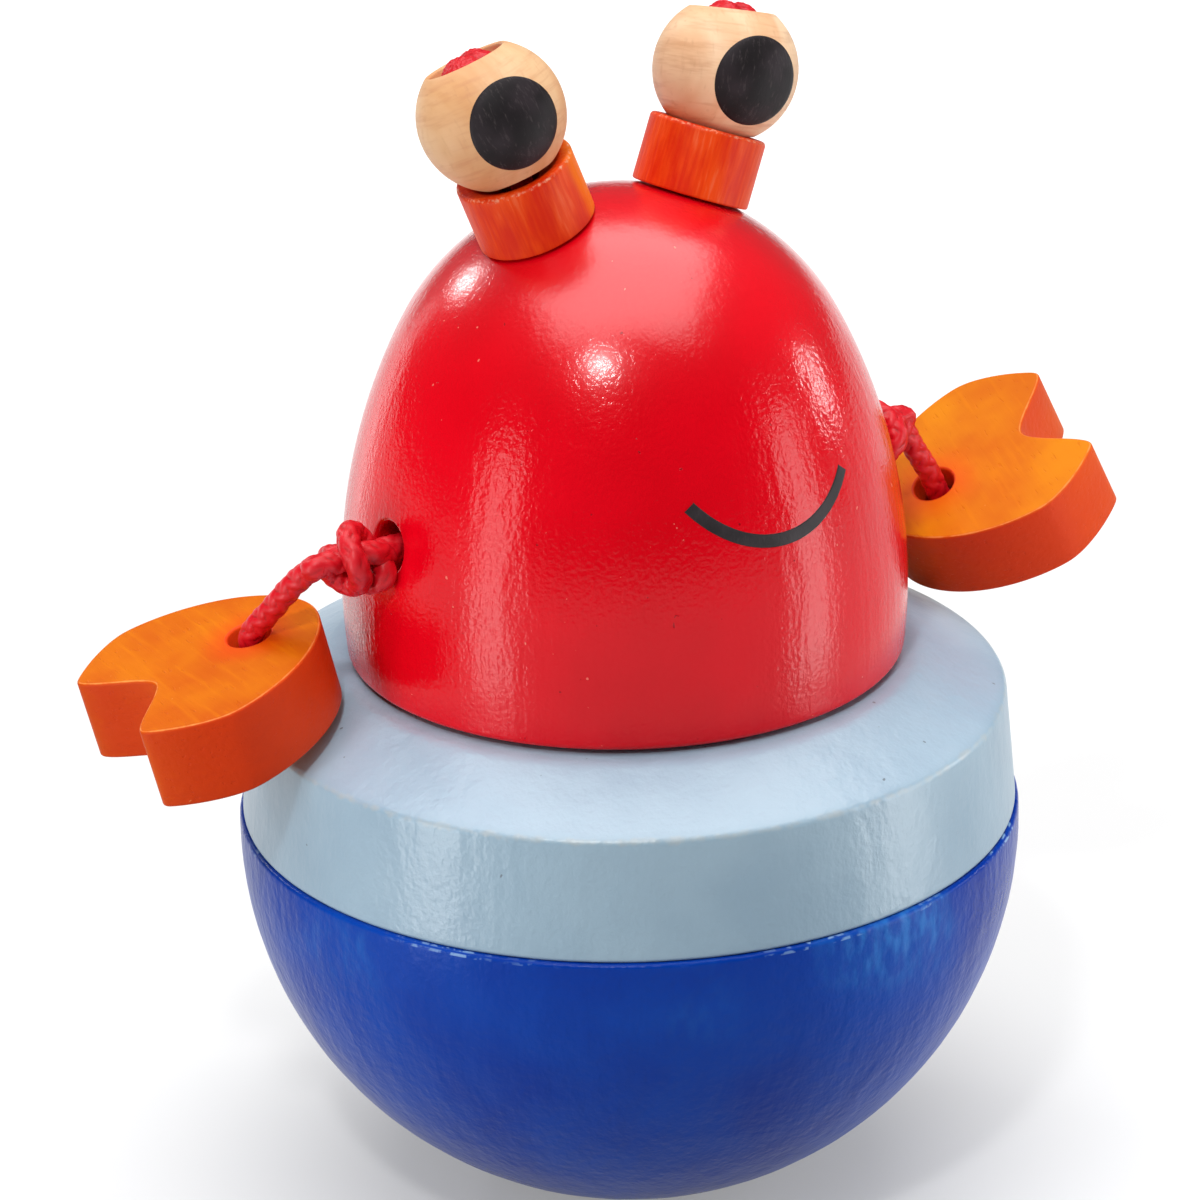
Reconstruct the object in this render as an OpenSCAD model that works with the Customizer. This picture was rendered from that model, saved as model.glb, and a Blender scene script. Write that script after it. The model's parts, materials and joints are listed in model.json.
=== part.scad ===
// Roly-poly crab: a turned wooden toy that rights itself.
// Millimetres, +Z up. The crab faces -Y, and the origin is the middle of the small flat it stands on.

/* [Half-ball base] */
// Diameter of the half-ball that the toy rocks on
ball_d = 80; // [74:0.5:90]
// Diameter of the small flat left under the ball
foot_d = 8; // [4:0.5:12]
// Height of the base's rim above the ball's centre
rim_rise = 2.2; // [0.5:0.1:5]
// Diameter of the pocket bored for the ballast
pocket_d = 32; // [26:0.5:36]
// Wood left between the foot and the pocket's floor
pocket_floor = 7; // [5:0.5:10]
// Thickness of the steel slug
slug_h = 16; // [10:0.5:18]

/* [Deck ring] */
// Step from the base's rim in to the ring
ring_step = 0.3; // [0.1:0.1:1]
// Height of the ring's side
ring_side_h = 12.2; // [8:0.2:18]
// How far the ring's side draws in on its way up
ring_draw = 1.1; // [0:0.1:3]
// Height of the sloped deck above the ring's shoulder
deck_rise = 4.1; // [2:0.1:7]
// Width of the flat land around the dome
land_w = 2; // [0.5:0.1:4]
// Eased edge at the ring's shoulder
shoulder_ease = 0.8; // [0.2:0.1:1.5]
// Eased edges where the ring meets the base
joint_ease = 0.4; // [0.1:0.1:1]

/* [Dome] */
// Diameter of the dome at its widest
dome_d = 57; // [52:0.5:62]
// Height of the dome
dome_h = 47.7; // [42:0.5:56]
// Height of the widest place above the dome's base
belly_h = 7; // [3:0.5:12]
// Radius of the dome's top as a share of its widest radius
dome_top_share = 0.86; // [0.75:0.01:0.92]
// Eased edge around the dome's base
dome_ease = 0.6; // [0.2:0.1:1.5]

/* [Centre dowel] */
// Diameter of the dowel that joins base, ring and dome
dowel_d = 14; // [10:0.5:16]
// Depth of the dowel in the plug, and in the dome
dowel_seat = 12; // [8:0.5:14]
// Glue gap around the dowel, the plug and the slug
glue_gap = 0.1; // [0.05:0.05:0.2]
// Depth of the bore that the dowel and the cords share in the dome
dome_bore_h = 33.5; // [30:0.5:36]

/* [Mouth] */
// Radius of the smile
mouth_r = 11.4; // [9:0.2:14]
// Half of the smile's width
mouth_half_w = 9; // [6:0.2:9]
// Width of the printed line
mouth_line = 1.1; // [0.6:0.1:2]
// Height of the smile's lowest point above the dome's base
mouth_h = 19.8; // [14:0.2:24]
// Thickness of the printed ink
ink_t = 0.12; // [0.08:0.01:0.2]

/* [Eyes] */
// Outward lean of both eyes
eye_lean = 21.8; // [18:0.2:28]
// Backward lean of both eyes
eye_back = 1.4; // [0:0.2:6]
// Diameter of the stalk
stalk_d = 11.8; // [10:0.2:14]
// Height of the stalk
stalk_h = 6.2; // [5:0.2:9]
// Eased edges of the stalk
stalk_ease = 0.5; // [0.1:0.1:1]
// Running gap under the stalk, and around the bead in its seat
eye_gap = 0.3; // [0.2:0.05:0.5]
// Height of the bead's centre above the stalk
bead_rise = 5.8; // [5:0.1:6.6]
// Diameter of the bead
bead_d = 14.4; // [13:0.2:16]
// Diameter of the bead's wide upper bore
bead_mouth_d = 7.6; // [7:0.1:9]
// Diameter of the bead's lower bore
bead_bore_d = 6.2; // [5.8:0.1:6.4]
// Depth of the step between the bores below the bead's centre
bead_step = 0.5; // [0:0.1:1.5]
// Diameter of the printed pupil
pupil_d = 8.9; // [6:0.1:10]
// Fall of both pupils below the middle of their beads
pupil_fall = 8; // [0:0.5:20]
// Outward lean of the left bead's bore
left_bead_lean = 17.3; // [10:0.1:28]
// Backward lean of the left bead's bore
left_bead_back = 18.1; // [0:0.1:20]
// Turn of the left pupil about its bead's bore
left_pupil_turn = -8.7; // [-60:0.1:60]
// Outward lean of the right bead's bore
right_bead_lean = 14.8; // [10:0.1:28]
// Backward lean of the right bead's bore
right_bead_back = 8.1; // [0:0.1:20]
// Turn of the right pupil about its bead's bore
right_pupil_turn = -6.9; // [-60:0.1:60]

/* [Claws] */
// Thickness of the claw's board
claw_t = 8.8; // [7:0.1:10]
// Half of the claw's width
claw_half_w = 11.4; // [9:0.1:13]
// Distance from the cord hole to the claw's back
claw_back = 6.9; // [6:0.1:8]
// Distance from the cord hole to the widest place
claw_belly = 8.1; // [6:0.1:9]
// Distance from the widest place to the front that the notch cuts
claw_nose = 11.8; // [9:0.1:13]
// Taper of the claw's sides towards its front, as a power where 1 is an ellipse
nose_taper_share = 1.32; // [1:0.01:1.5]
// Taper of the claw's sides towards its back, as a power where 1 is an ellipse
back_taper_share = 1.08; // [1:0.01:1.4]
// Distance from the cord hole to the bottom of the notch
notch_at = 10.6; // [9:0.1:13]
// Angle between the notch's sides
notch_angle = 102; // [70:1:120]
// Diameter of the cord hole
claw_hole_d = 4.4; // [4:0.1:5]
// Diameter of the counterbore for the end knot
claw_sink_d = 6.8; // [6.4:0.1:8]
// Depth of the counterbore
claw_sink_h = 6; // [5.8:0.1:6.6]
// Space between the dome and the left claw's back
left_space = 4.2; // [3:0.1:8]
// Bearing of the left claw's hole about the toy, from +X
left_bearing = 167.5; // [150:0.1:190]
// Underside of the left claw at its hole, above the deck's land
left_lift = -1.1; // [-1.3:0.1:6]
// Bearing that the left claw points to
left_yaw = 178; // [160:1:200]
// Droop of the left claw
left_droop = 14; // [0:1:20]
// Roll of the left claw
left_roll = -1; // [-5:1:5]
// Space between the dome and the right claw's back
right_space = 3.9; // [3:0.1:8]
// Bearing of the right claw's hole about the toy, from +X
right_bearing = -0.4; // [-15:0.1:15]
// Underside of the right claw at its hole, above the deck's land
right_lift = -0.4; // [-0.5:0.1:6]
// Bearing that the right claw points to
right_yaw = -22; // [-40:1:10]
// Droop of the right claw, less than zero where its tip is raised
right_droop = -27; // [-35:1:0]
// Roll of the right claw
right_roll = 16; // [0:1:20]

/* [Cord] */
// Diameter of the cord
cord_d = 2.4; // [2:0.1:2.6]
// Height of the claw cord above the dome's base
claw_cord_h = 16.8; // [16:0.1:18]
// Diameter of the holes in the dome that the claw cord leaves by
claw_bore_d = 5; // [4:0.1:6]
// Diameter of the bores for the eye cord in the dome and the stalks
eye_bore_d = 4.4; // [4.2:0.1:5]
// Diameter of the knots outside the dome
dome_knot_d = 6.6; // [6:0.1:8]
// Length of the knots outside the dome
dome_knot_l = 5.2; // [4:0.1:6]
// Gap between the dome and those knots
knot_gap = 0.4; // [0.2:0.1:1]
// Diameter of the knots in the beads
eye_knot_d = 6.8; // [6.4:0.1:7]
// Diameter of the knots under the claws
end_knot_d = 5.6; // [5.2:0.1:5.8]
// Gap between those knots and the free cords that swing from them
swing_gap = 0.35; // [0.2:0.05:0.6]
// Gap between a knot and the bottom of its counterbore
sink_gap = 0.3; // [0.2:0.05:0.6]

/* [Hidden] */
$fn = 96;
cut_over = 1;
arc_lap = 0.01;
ball_end_share = 1.05;
bead_pull_share = 0.3;
cord_sides = 8;
round_turns = [70, 45, 22];
claw_steps = 48;
knot_lobes = 2;

ball_r = ball_d / 2;
ball_z = sqrt(ball_r * ball_r - foot_d * foot_d / 4);
bowl_h = ball_z + rim_rise;
rim_r = sqrt(ball_r * ball_r - rim_rise * rim_rise);
slug_top = pocket_floor + slug_h;
plug_h = bowl_h - slug_top;

dome_r = dome_d / 2;
top_r = dome_r * dome_top_share;
top_h = dome_h - top_r;
touch_r = top_r - arc_lap;
arc_rise = top_h - belly_h;
side_r = (arc_rise * arc_rise + dome_r * dome_r - touch_r * touch_r) / (2 * (dome_r - touch_r));
side_x = dome_r - side_r;
touch_share = arc_rise / (side_r - touch_r);
dome_base_r = side_x + sqrt(side_r * side_r - belly_h * belly_h);

ring_low_r = rim_r - ring_step;
shoulder_r = ring_low_r - ring_draw;
land_r = dome_base_r + land_w;
ring_h = ring_side_h + deck_rise;
deck_slope_share = deck_rise / (shoulder_r - land_r);
dome_z = bowl_h + ring_h;
dowel_l = dowel_seat + ring_h + dowel_seat;

bead_r = bead_d / 2;
seat_reach = top_r;
stalk_reach = seat_reach + eye_gap;
bead_reach = stalk_reach + stalk_h + bead_rise;
eye_knot_at = eye_knot_d / 2 + sink_gap - bead_step;
ball_end_r = cord_d / 2 * ball_end_share;

claw_cord_z = dome_z + claw_cord_h;
dome_exit_r = side_x + sqrt(side_r * side_r - (claw_cord_h - belly_h) * (claw_cord_h - belly_h));
knot_start = dome_exit_r + knot_gap;
swing_at = knot_start + dome_knot_l + swing_gap + ball_end_r;
end_knot_at = claw_t - claw_sink_h + sink_gap + end_knot_d / 2;

// Route of the eye cord from the left stalk to the right one, from the centre of the dome's top arc
eye_points = [
    [-8.4, 0.6, 21.1], [-6.6, 0.4, 16.7], [-5.2, 0.3, 13.1], [-4.2, 0.2, 9.9], [-4.4, 0.2, 6.9],
    [-4.8, 0.2, 3.9], [-4.2, 0.2, 0.9], [-2.4, 0.2, -1.1], [0, 0.2, -1.7], [2.4, 0.2, -1.1],
    [4.2, 0.2, 0.9], [4.8, 0.2, 3.9], [4.4, 0.2, 6.9], [4.2, 0.2, 9.9], [5.2, 0.3, 13.1],
    [6.6, 0.4, 16.7], [8.4, 0.6, 21.1]];
// Route of the left claw's cord to the knot under the claw, from the knot at the dome
left_points = [
    [0, 0, 0], [-0.7, 1.2, -0.8], [-1.4, 2.8, -2.3], [-2.1, 4.4, -4.2], [-2.8, 6.1, -6.3],
    [-3.5, 7.6, -8.1], [-3.7, 8.4, -9.8], [-3, 8.6, -12.2], [-2.3, 8.6, -14.8]];
// Route of the right claw's cord to the knot under the claw, from the knot at the dome
right_points = [
    [0, 0, 0], [0.4, 0, -1], [1, -0.1, -2.3], [1.8, -0.2, -3.8], [2.8, -0.3, -5.4],
    [3.8, -0.4, -7.1], [4.7, -0.3, -8.9], [5.9, -0.1, -10.9], [7.4, 0.3, -13.5]];

function unit(v) = v / norm(v);
function lean_axis(side, lean, back) = [side * sin(lean) * cos(back), sin(back), cos(lean) * cos(back)];
function eye_axis(side) = lean_axis(side, eye_lean, eye_back);
function bead_axis(side) = side < 0 ? lean_axis(side, left_bead_lean, left_bead_back)
                                    : lean_axis(side, right_bead_lean, right_bead_back);
function dome_top() = [0, 0, dome_z + top_h];
function seat_at(side) = dome_top() + seat_reach * eye_axis(side);
function swing_place(side) = [side * swing_at, 0, claw_cord_z];
function bead_at(side) = dome_top() + bead_reach * eye_axis(side);
function eye_knot_place(side) = bead_at(side) + eye_knot_at * bead_axis(side);
function claw_at(space, bearing, lift) =
    let (reach = dome_r + space + claw_back)
    [reach * cos(bearing), reach * sin(bearing), dome_z + lift + claw_t];

// Tube that follows a list of points, with a flat or a round start
function along(path, i) = unit(path[min(i + 1, len(path) - 1)] - path[max(i - 1, 0)]);
function tube_ring(at, t, r) =
    let (u = unit(cross(t, [0, 1, 0])), v = cross(t, u))
    [for (k = [0:cord_sides - 1]) at + r * (cos(360 * k / cord_sides) * u + sin(360 * k / cord_sides) * v)];
function tube_faces(rings) = concat(
    [[for (k = [cord_sides - 1:-1:0]) k]],
    [for (i = [0:rings - 2], k = [0:cord_sides - 1], half = [0, 1])
        let (a = i * cord_sides + k, b = i * cord_sides + (k + 1) % cord_sides)
        half == 0 ? [a, b, b + cord_sides] : [a, b + cord_sides, a + cord_sides]],
    [[for (k = [0:cord_sides - 1]) (rings - 1) * cord_sides + k]]);

module tube(path, start_turns = []) {
    r = cord_d / 2;
    t = along(path, 0);
    points = concat(
        [for (a = start_turns) each tube_ring(path[0] - r * sin(a) * t, t, r * cos(a))],
        [for (i = [0:len(path) - 1]) each tube_ring(path[i], along(path, i), r)]);
    polyhedron(points, tube_faces(len(start_turns) + len(path)));
}

// Turns +Z to a direction
module aim(axis) {
    rotate([0, acos(axis[2] / norm(axis)), atan2(axis[1], axis[0])]) children();
}

module at_eye(side) {
    translate(dome_top()) rotate([0, side * eye_lean, 0]) rotate([-eye_back, 0, 0]) children();
}

module at_bead(side, lean, back) {
    translate(bead_at(side)) rotate([0, side * lean, 0]) rotate([-back, 0, 0]) children();
}

module at_left_claw() {
    translate(claw_at(left_space, left_bearing, left_lift))
        rotate([0, 0, left_yaw]) rotate([0, left_droop, 0]) rotate([left_roll, 0, 0]) children();
}

module at_right_claw() {
    translate(claw_at(right_space, right_bearing, right_lift))
        rotate([0, 0, right_yaw]) rotate([0, right_droop, 0]) rotate([right_roll, 0, 0]) children();
}

// Base, ballast, ring and dowel
module base_bowl() {
    color("royalblue") difference() {
        rotate_extrude() difference() {
            intersection() {
                translate([0, ball_z]) circle(ball_r);
                square([ball_r, bowl_h]);
            }
            polygon([
                [rim_r - joint_ease - cut_over, bowl_h + cut_over],
                [rim_r + cut_over, bowl_h - joint_ease - cut_over],
                [rim_r + cut_over, bowl_h + cut_over]]);
        }
        translate([0, 0, pocket_floor]) cylinder(d = pocket_d, h = bowl_h);
    }
}

module ballast_weight() {
    color("slategray") translate([0, 0, pocket_floor]) cylinder(d = pocket_d - 2 * glue_gap, h = slug_h);
}

module ballast_plug() {
    color("burlywood") translate([0, 0, slug_top]) difference() {
        cylinder(d = pocket_d - 2 * glue_gap, h = plug_h);
        translate([0, 0, plug_h - dowel_seat]) cylinder(d = dowel_d + 2 * glue_gap, h = plug_h);
    }
}

module deck_ring() {
    bore_r = dowel_d / 2 + glue_gap;
    color("lightsteelblue") translate([0, 0, bowl_h]) rotate_extrude() polygon([
        [bore_r, 0],
        [ring_low_r - joint_ease, 0],
        [ring_low_r, joint_ease],
        [shoulder_r + ring_draw * shoulder_ease / ring_side_h, ring_side_h - shoulder_ease],
        [shoulder_r - shoulder_ease, ring_side_h + shoulder_ease * deck_slope_share],
        [land_r, ring_h],
        [bore_r, ring_h]]);
}

module centre_dowel() {
    color("wheat") translate([0, 0, bowl_h - dowel_seat]) cylinder(d = dowel_d, h = dowel_l);
}

// Dome and mouth
module dome_form(grow) {
    translate([0, 0, dome_z]) rotate_extrude() {
        intersection() {
            translate([side_x, belly_h]) circle(side_r + grow);
            square([dome_r + grow, top_h + (touch_r + grow) * touch_share]);
        }
        translate([0, top_h]) intersection() {
            circle(top_r + grow);
            square(top_r + grow);
        }
    }
}

module body_dome() {
    ease_reach = dome_ease + cut_over;
    color("crimson") difference() {
        dome_form(0);
        translate([0, 0, dome_z]) rotate_extrude() polygon([
            [dome_base_r - ease_reach, -cut_over],
            [dome_base_r + ease_reach, -cut_over],
            [dome_base_r + ease_reach, dome_ease + ease_reach]]);
        translate([0, 0, dome_z - cut_over])
            cylinder(d = dowel_d + 2 * glue_gap, h = dome_bore_h + cut_over);
        translate([0, 0, claw_cord_z]) rotate([0, 90, 0])
            cylinder(d = claw_bore_d, h = 2 * dome_d, center = true);
        for (side = [-1, 1]) at_eye(side) cylinder(d = eye_bore_d, h = top_r + cut_over);
    }
}

module mouth_print() {
    mouth_turn = asin(mouth_half_w / mouth_r);
    mouth_top = dome_z + mouth_h + mouth_r;
    far = 2 * mouth_r;
    color("black") intersection() {
        difference() {
            dome_form(ink_t);
            dome_form(0);
        }
        translate([0, 0, mouth_top]) rotate([90, 0, 0]) linear_extrude(height = dome_d) intersection() {
            difference() {
                circle(mouth_r + mouth_line / 2);
                circle(mouth_r - mouth_line / 2);
            }
            polygon([
                [0, 0],
                [-far * sin(mouth_turn), -far * cos(mouth_turn)],
                [far * sin(mouth_turn), -far * cos(mouth_turn)]]);
        }
    }
}

// Eyes
module eye_stalk(side) {
    skirt = stalk_reach - sqrt(stalk_reach * stalk_reach - stalk_d * stalk_d / 4);
    color("orangered") at_eye(side) translate([0, 0, stalk_reach]) difference() {
        rotate_extrude() polygon([
            [eye_bore_d / 2, -skirt],
            [stalk_d / 2 - stalk_ease, -skirt],
            [stalk_d / 2, stalk_ease - skirt],
            [stalk_d / 2, stalk_h - stalk_ease],
            [stalk_d / 2 - stalk_ease, stalk_h],
            [eye_bore_d / 2, stalk_h]]);
        translate([0, 0, stalk_h + bead_rise]) sphere(bead_r + eye_gap);
        translate([0, 0, -stalk_reach]) sphere(stalk_reach);
    }
}

module bead(lean, back, side) {
    color("navajowhite") at_bead(side, lean, back) difference() {
        sphere(bead_r);
        cylinder(d = bead_bore_d, h = 2 * bead_d, center = true);
        translate([0, 0, -bead_step]) cylinder(d = bead_mouth_d, h = bead_d);
    }
}

module pupil(lean, back, turn, side) {
    color("black") at_bead(side, lean, back) intersection() {
        difference() {
            sphere(bead_r + ink_t);
            sphere(bead_r);
        }
        rotate([0, 0, turn]) rotate([90 + pupil_fall, 0, 0]) cylinder(d = pupil_d, h = bead_d);
    }
}

// Straight run of cord with a round start
module cord_run(from, to) {
    translate(from) {
        sphere(ball_end_r);
        aim(to - from) cylinder(d = cord_d, h = norm(to - from));
    }
}

// Up the stalk, and over a bend at the bead's lower mouth to the knot
module cord_end(side) {
    pull = unit(eye_axis(side) * (1 - bead_pull_share) + bead_axis(side) * bead_pull_share);
    bend_at = bead_at(side) - bead_r * pull;
    color("firebrick") {
        cord_run(seat_at(side), bend_at);
        cord_run(bend_at, eye_knot_place(side));
    }
}

module bead_knot(side) {
    color("firebrick") translate(eye_knot_place(side)) sphere(d = eye_knot_d);
}

module eye_stalk_left() { eye_stalk(-1); }
module eye_stalk_right() { eye_stalk(1); }
module eye_bead_left() { bead(left_bead_lean, left_bead_back, -1); }
module eye_bead_right() { bead(right_bead_lean, right_bead_back, 1); }
module pupil_left() { pupil(left_bead_lean, left_bead_back, left_pupil_turn, -1); }
module pupil_right() { pupil(right_bead_lean, right_bead_back, right_pupil_turn, 1); }
module eye_cord() { color("firebrick") translate(dome_top()) tube(eye_points); }
module eye_cord_end_left() { cord_end(-1); }
module eye_cord_end_right() { cord_end(1); }
module eye_knot_left() { bead_knot(-1); }
module eye_knot_right() { bead_knot(1); }

// Claws and their cord
function powered(v, p) = sign(v) * pow(abs(v), p);
function claw_edge(a) =
    let (front = cos(a) > 0, p = front ? nose_taper_share : back_taper_share)
    [claw_belly + (front ? claw_nose : claw_back + claw_belly) * powered(cos(a), p),
     claw_half_w * powered(sin(a), p)];

module claw() {
    notch_end = claw_belly + claw_nose + cut_over;
    notch_half = (notch_end - notch_at) * tan(notch_angle / 2);
    color("darkorange") difference() {
        translate([0, 0, -claw_t]) linear_extrude(height = claw_t) difference() {
            polygon([for (i = [0:claw_steps - 1]) claw_edge(360 * i / claw_steps)]);
            polygon([[notch_at, 0], [notch_end, -notch_half], [notch_end, notch_half]]);
        }
        cylinder(d = claw_hole_d, h = 2 * claw_t + cut_over, center = true);
        translate([0, 0, -claw_t - cut_over]) cylinder(d = claw_sink_d, h = claw_sink_h + cut_over);
    }
}

module end_knot() {
    color("firebrick") translate([0, 0, -end_knot_at]) sphere(d = end_knot_d);
}

module free_cord(points, side) {
    color("firebrick") translate(swing_place(side)) tube(points, round_turns);
}

// Stopper knot of rounded turns side by side, around +Z
module stopper_knot() {
    lobe_l = dome_knot_l / knot_lobes;
    color("firebrick") rotate_extrude() {
        for (i = [0:knot_lobes - 1])
            translate([dome_knot_d / 2 - lobe_l / 2, (i + 0.5) * lobe_l]) circle(lobe_l / 2);
        square([dome_knot_d / 2 - lobe_l / 2, dome_knot_l]);
    }
}

module dome_knot(side) {
    translate([side * knot_start, 0, claw_cord_z]) rotate([0, side * 90, 0]) stopper_knot();
}

module claw_left() { at_left_claw() claw(); }
module claw_right() { at_right_claw() claw(); }
module claw_cord_left() { free_cord(left_points, -1); }
module claw_cord_right() { free_cord(right_points, 1); }
module claw_end_knot_left() { at_left_claw() end_knot(); }
module claw_end_knot_right() { at_right_claw() end_knot(); }
module dome_knot_left() { dome_knot(-1); }
module dome_knot_right() { dome_knot(1); }
module claw_cord() {
    color("firebrick") translate([0, 0, claw_cord_z]) rotate([0, 90, 0])
        cylinder(d = cord_d, h = 2 * knot_start, center = true);
}

base_bowl();
ballast_weight();
ballast_plug();
deck_ring();
centre_dowel();
body_dome();
mouth_print();
eye_stalk_left();
eye_stalk_right();
eye_bead_left();
eye_bead_right();
pupil_left();
pupil_right();
eye_cord();
eye_cord_end_left();
eye_cord_end_right();
eye_knot_left();
eye_knot_right();
claw_left();
claw_right();
claw_cord();
claw_cord_left();
claw_cord_right();
claw_end_knot_left();
claw_end_knot_right();
dome_knot_left();
dome_knot_right();
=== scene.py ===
# %% [markdown]
# # A roly-poly crab in lacquered wood
# The toy is a weighted half-ball with a pale ring, a red dome, two bead eyes and two claws on cord.
# Its construction arrives as packed solids that are already in place and at full size.
# This lesson dresses each solid: a finished mesh, a finish made of nodes, and a little studio.

# %% Load the frame
import json
import math

import bmesh
import bpy
import numpy as np
from mathutils import Matrix, Vector, noise


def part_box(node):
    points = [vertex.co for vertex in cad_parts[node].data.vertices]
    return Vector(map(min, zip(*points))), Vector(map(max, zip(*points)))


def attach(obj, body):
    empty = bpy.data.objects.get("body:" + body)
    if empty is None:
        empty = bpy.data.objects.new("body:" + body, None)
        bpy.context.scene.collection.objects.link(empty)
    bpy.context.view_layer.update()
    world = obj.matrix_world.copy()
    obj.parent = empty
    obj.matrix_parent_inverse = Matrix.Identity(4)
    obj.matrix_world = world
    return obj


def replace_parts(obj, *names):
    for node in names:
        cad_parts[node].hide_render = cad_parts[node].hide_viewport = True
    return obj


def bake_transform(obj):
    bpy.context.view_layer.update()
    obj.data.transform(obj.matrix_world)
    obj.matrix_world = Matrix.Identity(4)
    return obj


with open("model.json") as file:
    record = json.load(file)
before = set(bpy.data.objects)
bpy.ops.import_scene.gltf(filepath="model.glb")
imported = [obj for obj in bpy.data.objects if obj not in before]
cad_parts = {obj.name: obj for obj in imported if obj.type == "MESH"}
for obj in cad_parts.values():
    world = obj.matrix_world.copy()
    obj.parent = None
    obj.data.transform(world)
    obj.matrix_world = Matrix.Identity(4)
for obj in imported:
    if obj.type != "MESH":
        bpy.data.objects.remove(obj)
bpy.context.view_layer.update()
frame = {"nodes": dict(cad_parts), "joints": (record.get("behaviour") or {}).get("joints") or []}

mm = 0.001
joints = {joint["name"]: joint for joint in frame["joints"]}
sides = {"left": -1, "right": 1}

# %% [markdown]
# ## Camera
# A photograph has one place from which its lines fit. That place was found from the round edges of the
# base, the ring and the dome, so here it is only written down: a turn, a rise, a slight roll and a reach.

# %% Place the camera
view_turn = math.radians(-33.6)
view_rise = math.radians(22.14)
view_roll = math.radians(-1.23)
view_reach = 429.9 * mm
view_aim = Vector((-1.875, 1.78, 62.847)) * mm
camera_lens = bpy.data.cameras.new("camera")
camera_lens.lens = 127.4
camera_lens.sensor_width = 36
camera = bpy.data.objects.new("camera", camera_lens)
camera.matrix_world = (
    Matrix.Translation(view_aim) @ Matrix.Rotation(view_turn, 4, "Z")
    @ Matrix.Rotation(math.pi / 2 - view_rise, 4, "X") @ Matrix.Rotation(view_roll, 4, "Z")
    @ Matrix.Translation((0, 0, view_reach)))
bpy.context.scene.collection.objects.link(camera)
bpy.context.scene.camera = camera
print("camera at", [round(c / mm, 1) for c in camera.matrix_world.translation])

# %% [markdown]
# ## Nodes as plain sums
# Finishes and repeating shapes are node trees. Wiring them by hand hides the idea, so one small class
# wraps a socket and lets sums add their own Math nodes, and one method adds every other node. Colours are
# written as they look on a screen, from 0 to 255, and turned to light values.

# %% Wires and benches


class Wire:
    """An output socket that takes part in sums: each operator adds a Math node."""

    def __init__(self, bench, socket):
        self.bench = bench
        self.socket = socket

    def __add__(self, other):
        return self.bench.maths("ADD", self, other)

    def __sub__(self, other):
        return self.bench.maths("SUBTRACT", self, other)

    def __rsub__(self, other):
        return self.bench.maths("SUBTRACT", other, self)

    def __mul__(self, other):
        return self.bench.maths("MULTIPLY", self, other)

    def __truediv__(self, other):
        return self.bench.maths("DIVIDE", self, other)

    def __rtruediv__(self, other):
        return self.bench.maths("DIVIDE", other, self)

    def __abs__(self):
        return self.bench.maths("ABSOLUTE", self)

    __radd__ = __add__
    __rmul__ = __mul__


def light_values(red, green, blue):
    shares = np.array([red, green, blue]) / 255
    light = np.where(shares <= 0.04045, shares / 12.92, ((shares + 0.055) / 1.055) ** 2.4)
    return (*light.tolist(), 1.0)


class Bench:
    """A node tree, and the one way that nodes are put into it."""

    def __init__(self, tree):
        self.tree = tree

    def node(self, kind, sockets=None, out=0, **settings):
        made = self.tree.nodes.new(kind)
        for name, value in settings.items():
            setattr(made, name, value)
        for name, value in (sockets or {}).items():
            if isinstance(value, Wire):
                self.tree.links.new(value.socket, made.inputs[name])
            else:
                made.inputs[name].default_value = value
        return Wire(self, made.outputs[out]) if made.outputs else made

    def maths(self, operation, *values):
        return self.node("ShaderNodeMath", dict(enumerate(values)), operation=operation)

    def vector(self, operation, *values, out=0):
        return self.node("ShaderNodeVectorMath", dict(enumerate(values)), out, operation=operation)

    def mix(self, share, *colours):
        first, second = (c if isinstance(c, Wire) else light_values(*c) for c in colours)
        return self.node("ShaderNodeMix", {0: share, 6: first, 7: second}, 2, data_type="RGBA")

    def blotch(self, value, low_colour, high_colour):
        """Two colours that run into each other with a noise."""
        return self.mix(self.rise(value, 0.3, 0.7), low_colour, high_colour)

    def coats(self, base, *coats):
        """Lays colours over a base, each with its share."""
        for share, coat in coats:
            base = self.mix(share, base, coat)
        return base

    def noise(self, place, scale, detail=3.0, roughness=0.5):
        sockets = {"Vector": place, "Scale": scale, "Detail": detail, "Roughness": roughness}
        return self.node("ShaderNodeTexNoise", sockets)

    def specks(self, place, scale, low=0.79):
        """Small sparse spots: only the peaks of a noise."""
        return self.rise(self.noise(place, scale, 1.0), low, 0.82)

    def rise(self, value, low, high):
        """0 below low, 1 above high, and a smooth climb between."""
        sockets = {0: value, 1: low, 2: high}
        return self.node("ShaderNodeMapRange", sockets, interpolation_type="SMOOTHSTEP")

    def stretch(self, place, scale):
        return self.node("ShaderNodeMapping", {"Vector": place, "Scale": scale})

    def part(self, place, axis):
        return self.node("ShaderNodeSeparateXYZ", {0: place}, axis)


print("a mid grey is", round(light_values(128, 128, 128)[0], 3), "in light")

# %% [markdown]
# ## Finishes share one shape
# Every finish here is a Principled surface. A recipe wires its own nodes and hands back a colour, a
# roughness, a fine height that bumps the surface, a gloss, and sometimes a few more sockets. One function
# joins them into a material.

# %% Make a finish from a recipe


def place_of(bench, attribute=None):
    """Place of a point in the frame, or one that its mesh has stored."""
    if attribute:
        return bench.node("ShaderNodeAttribute", out="Vector", attribute_name=attribute)
    return bench.node("ShaderNodeTexCoord", out="Object")


def own_value(bench, attribute):
    return bench.node("ShaderNodeAttribute", out="Fac", attribute_name=attribute)


def new_finish(name):
    material = bpy.data.materials.new(name)
    material.use_nodes = True
    material.node_tree.nodes.clear()
    return material, Bench(material.node_tree)


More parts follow.
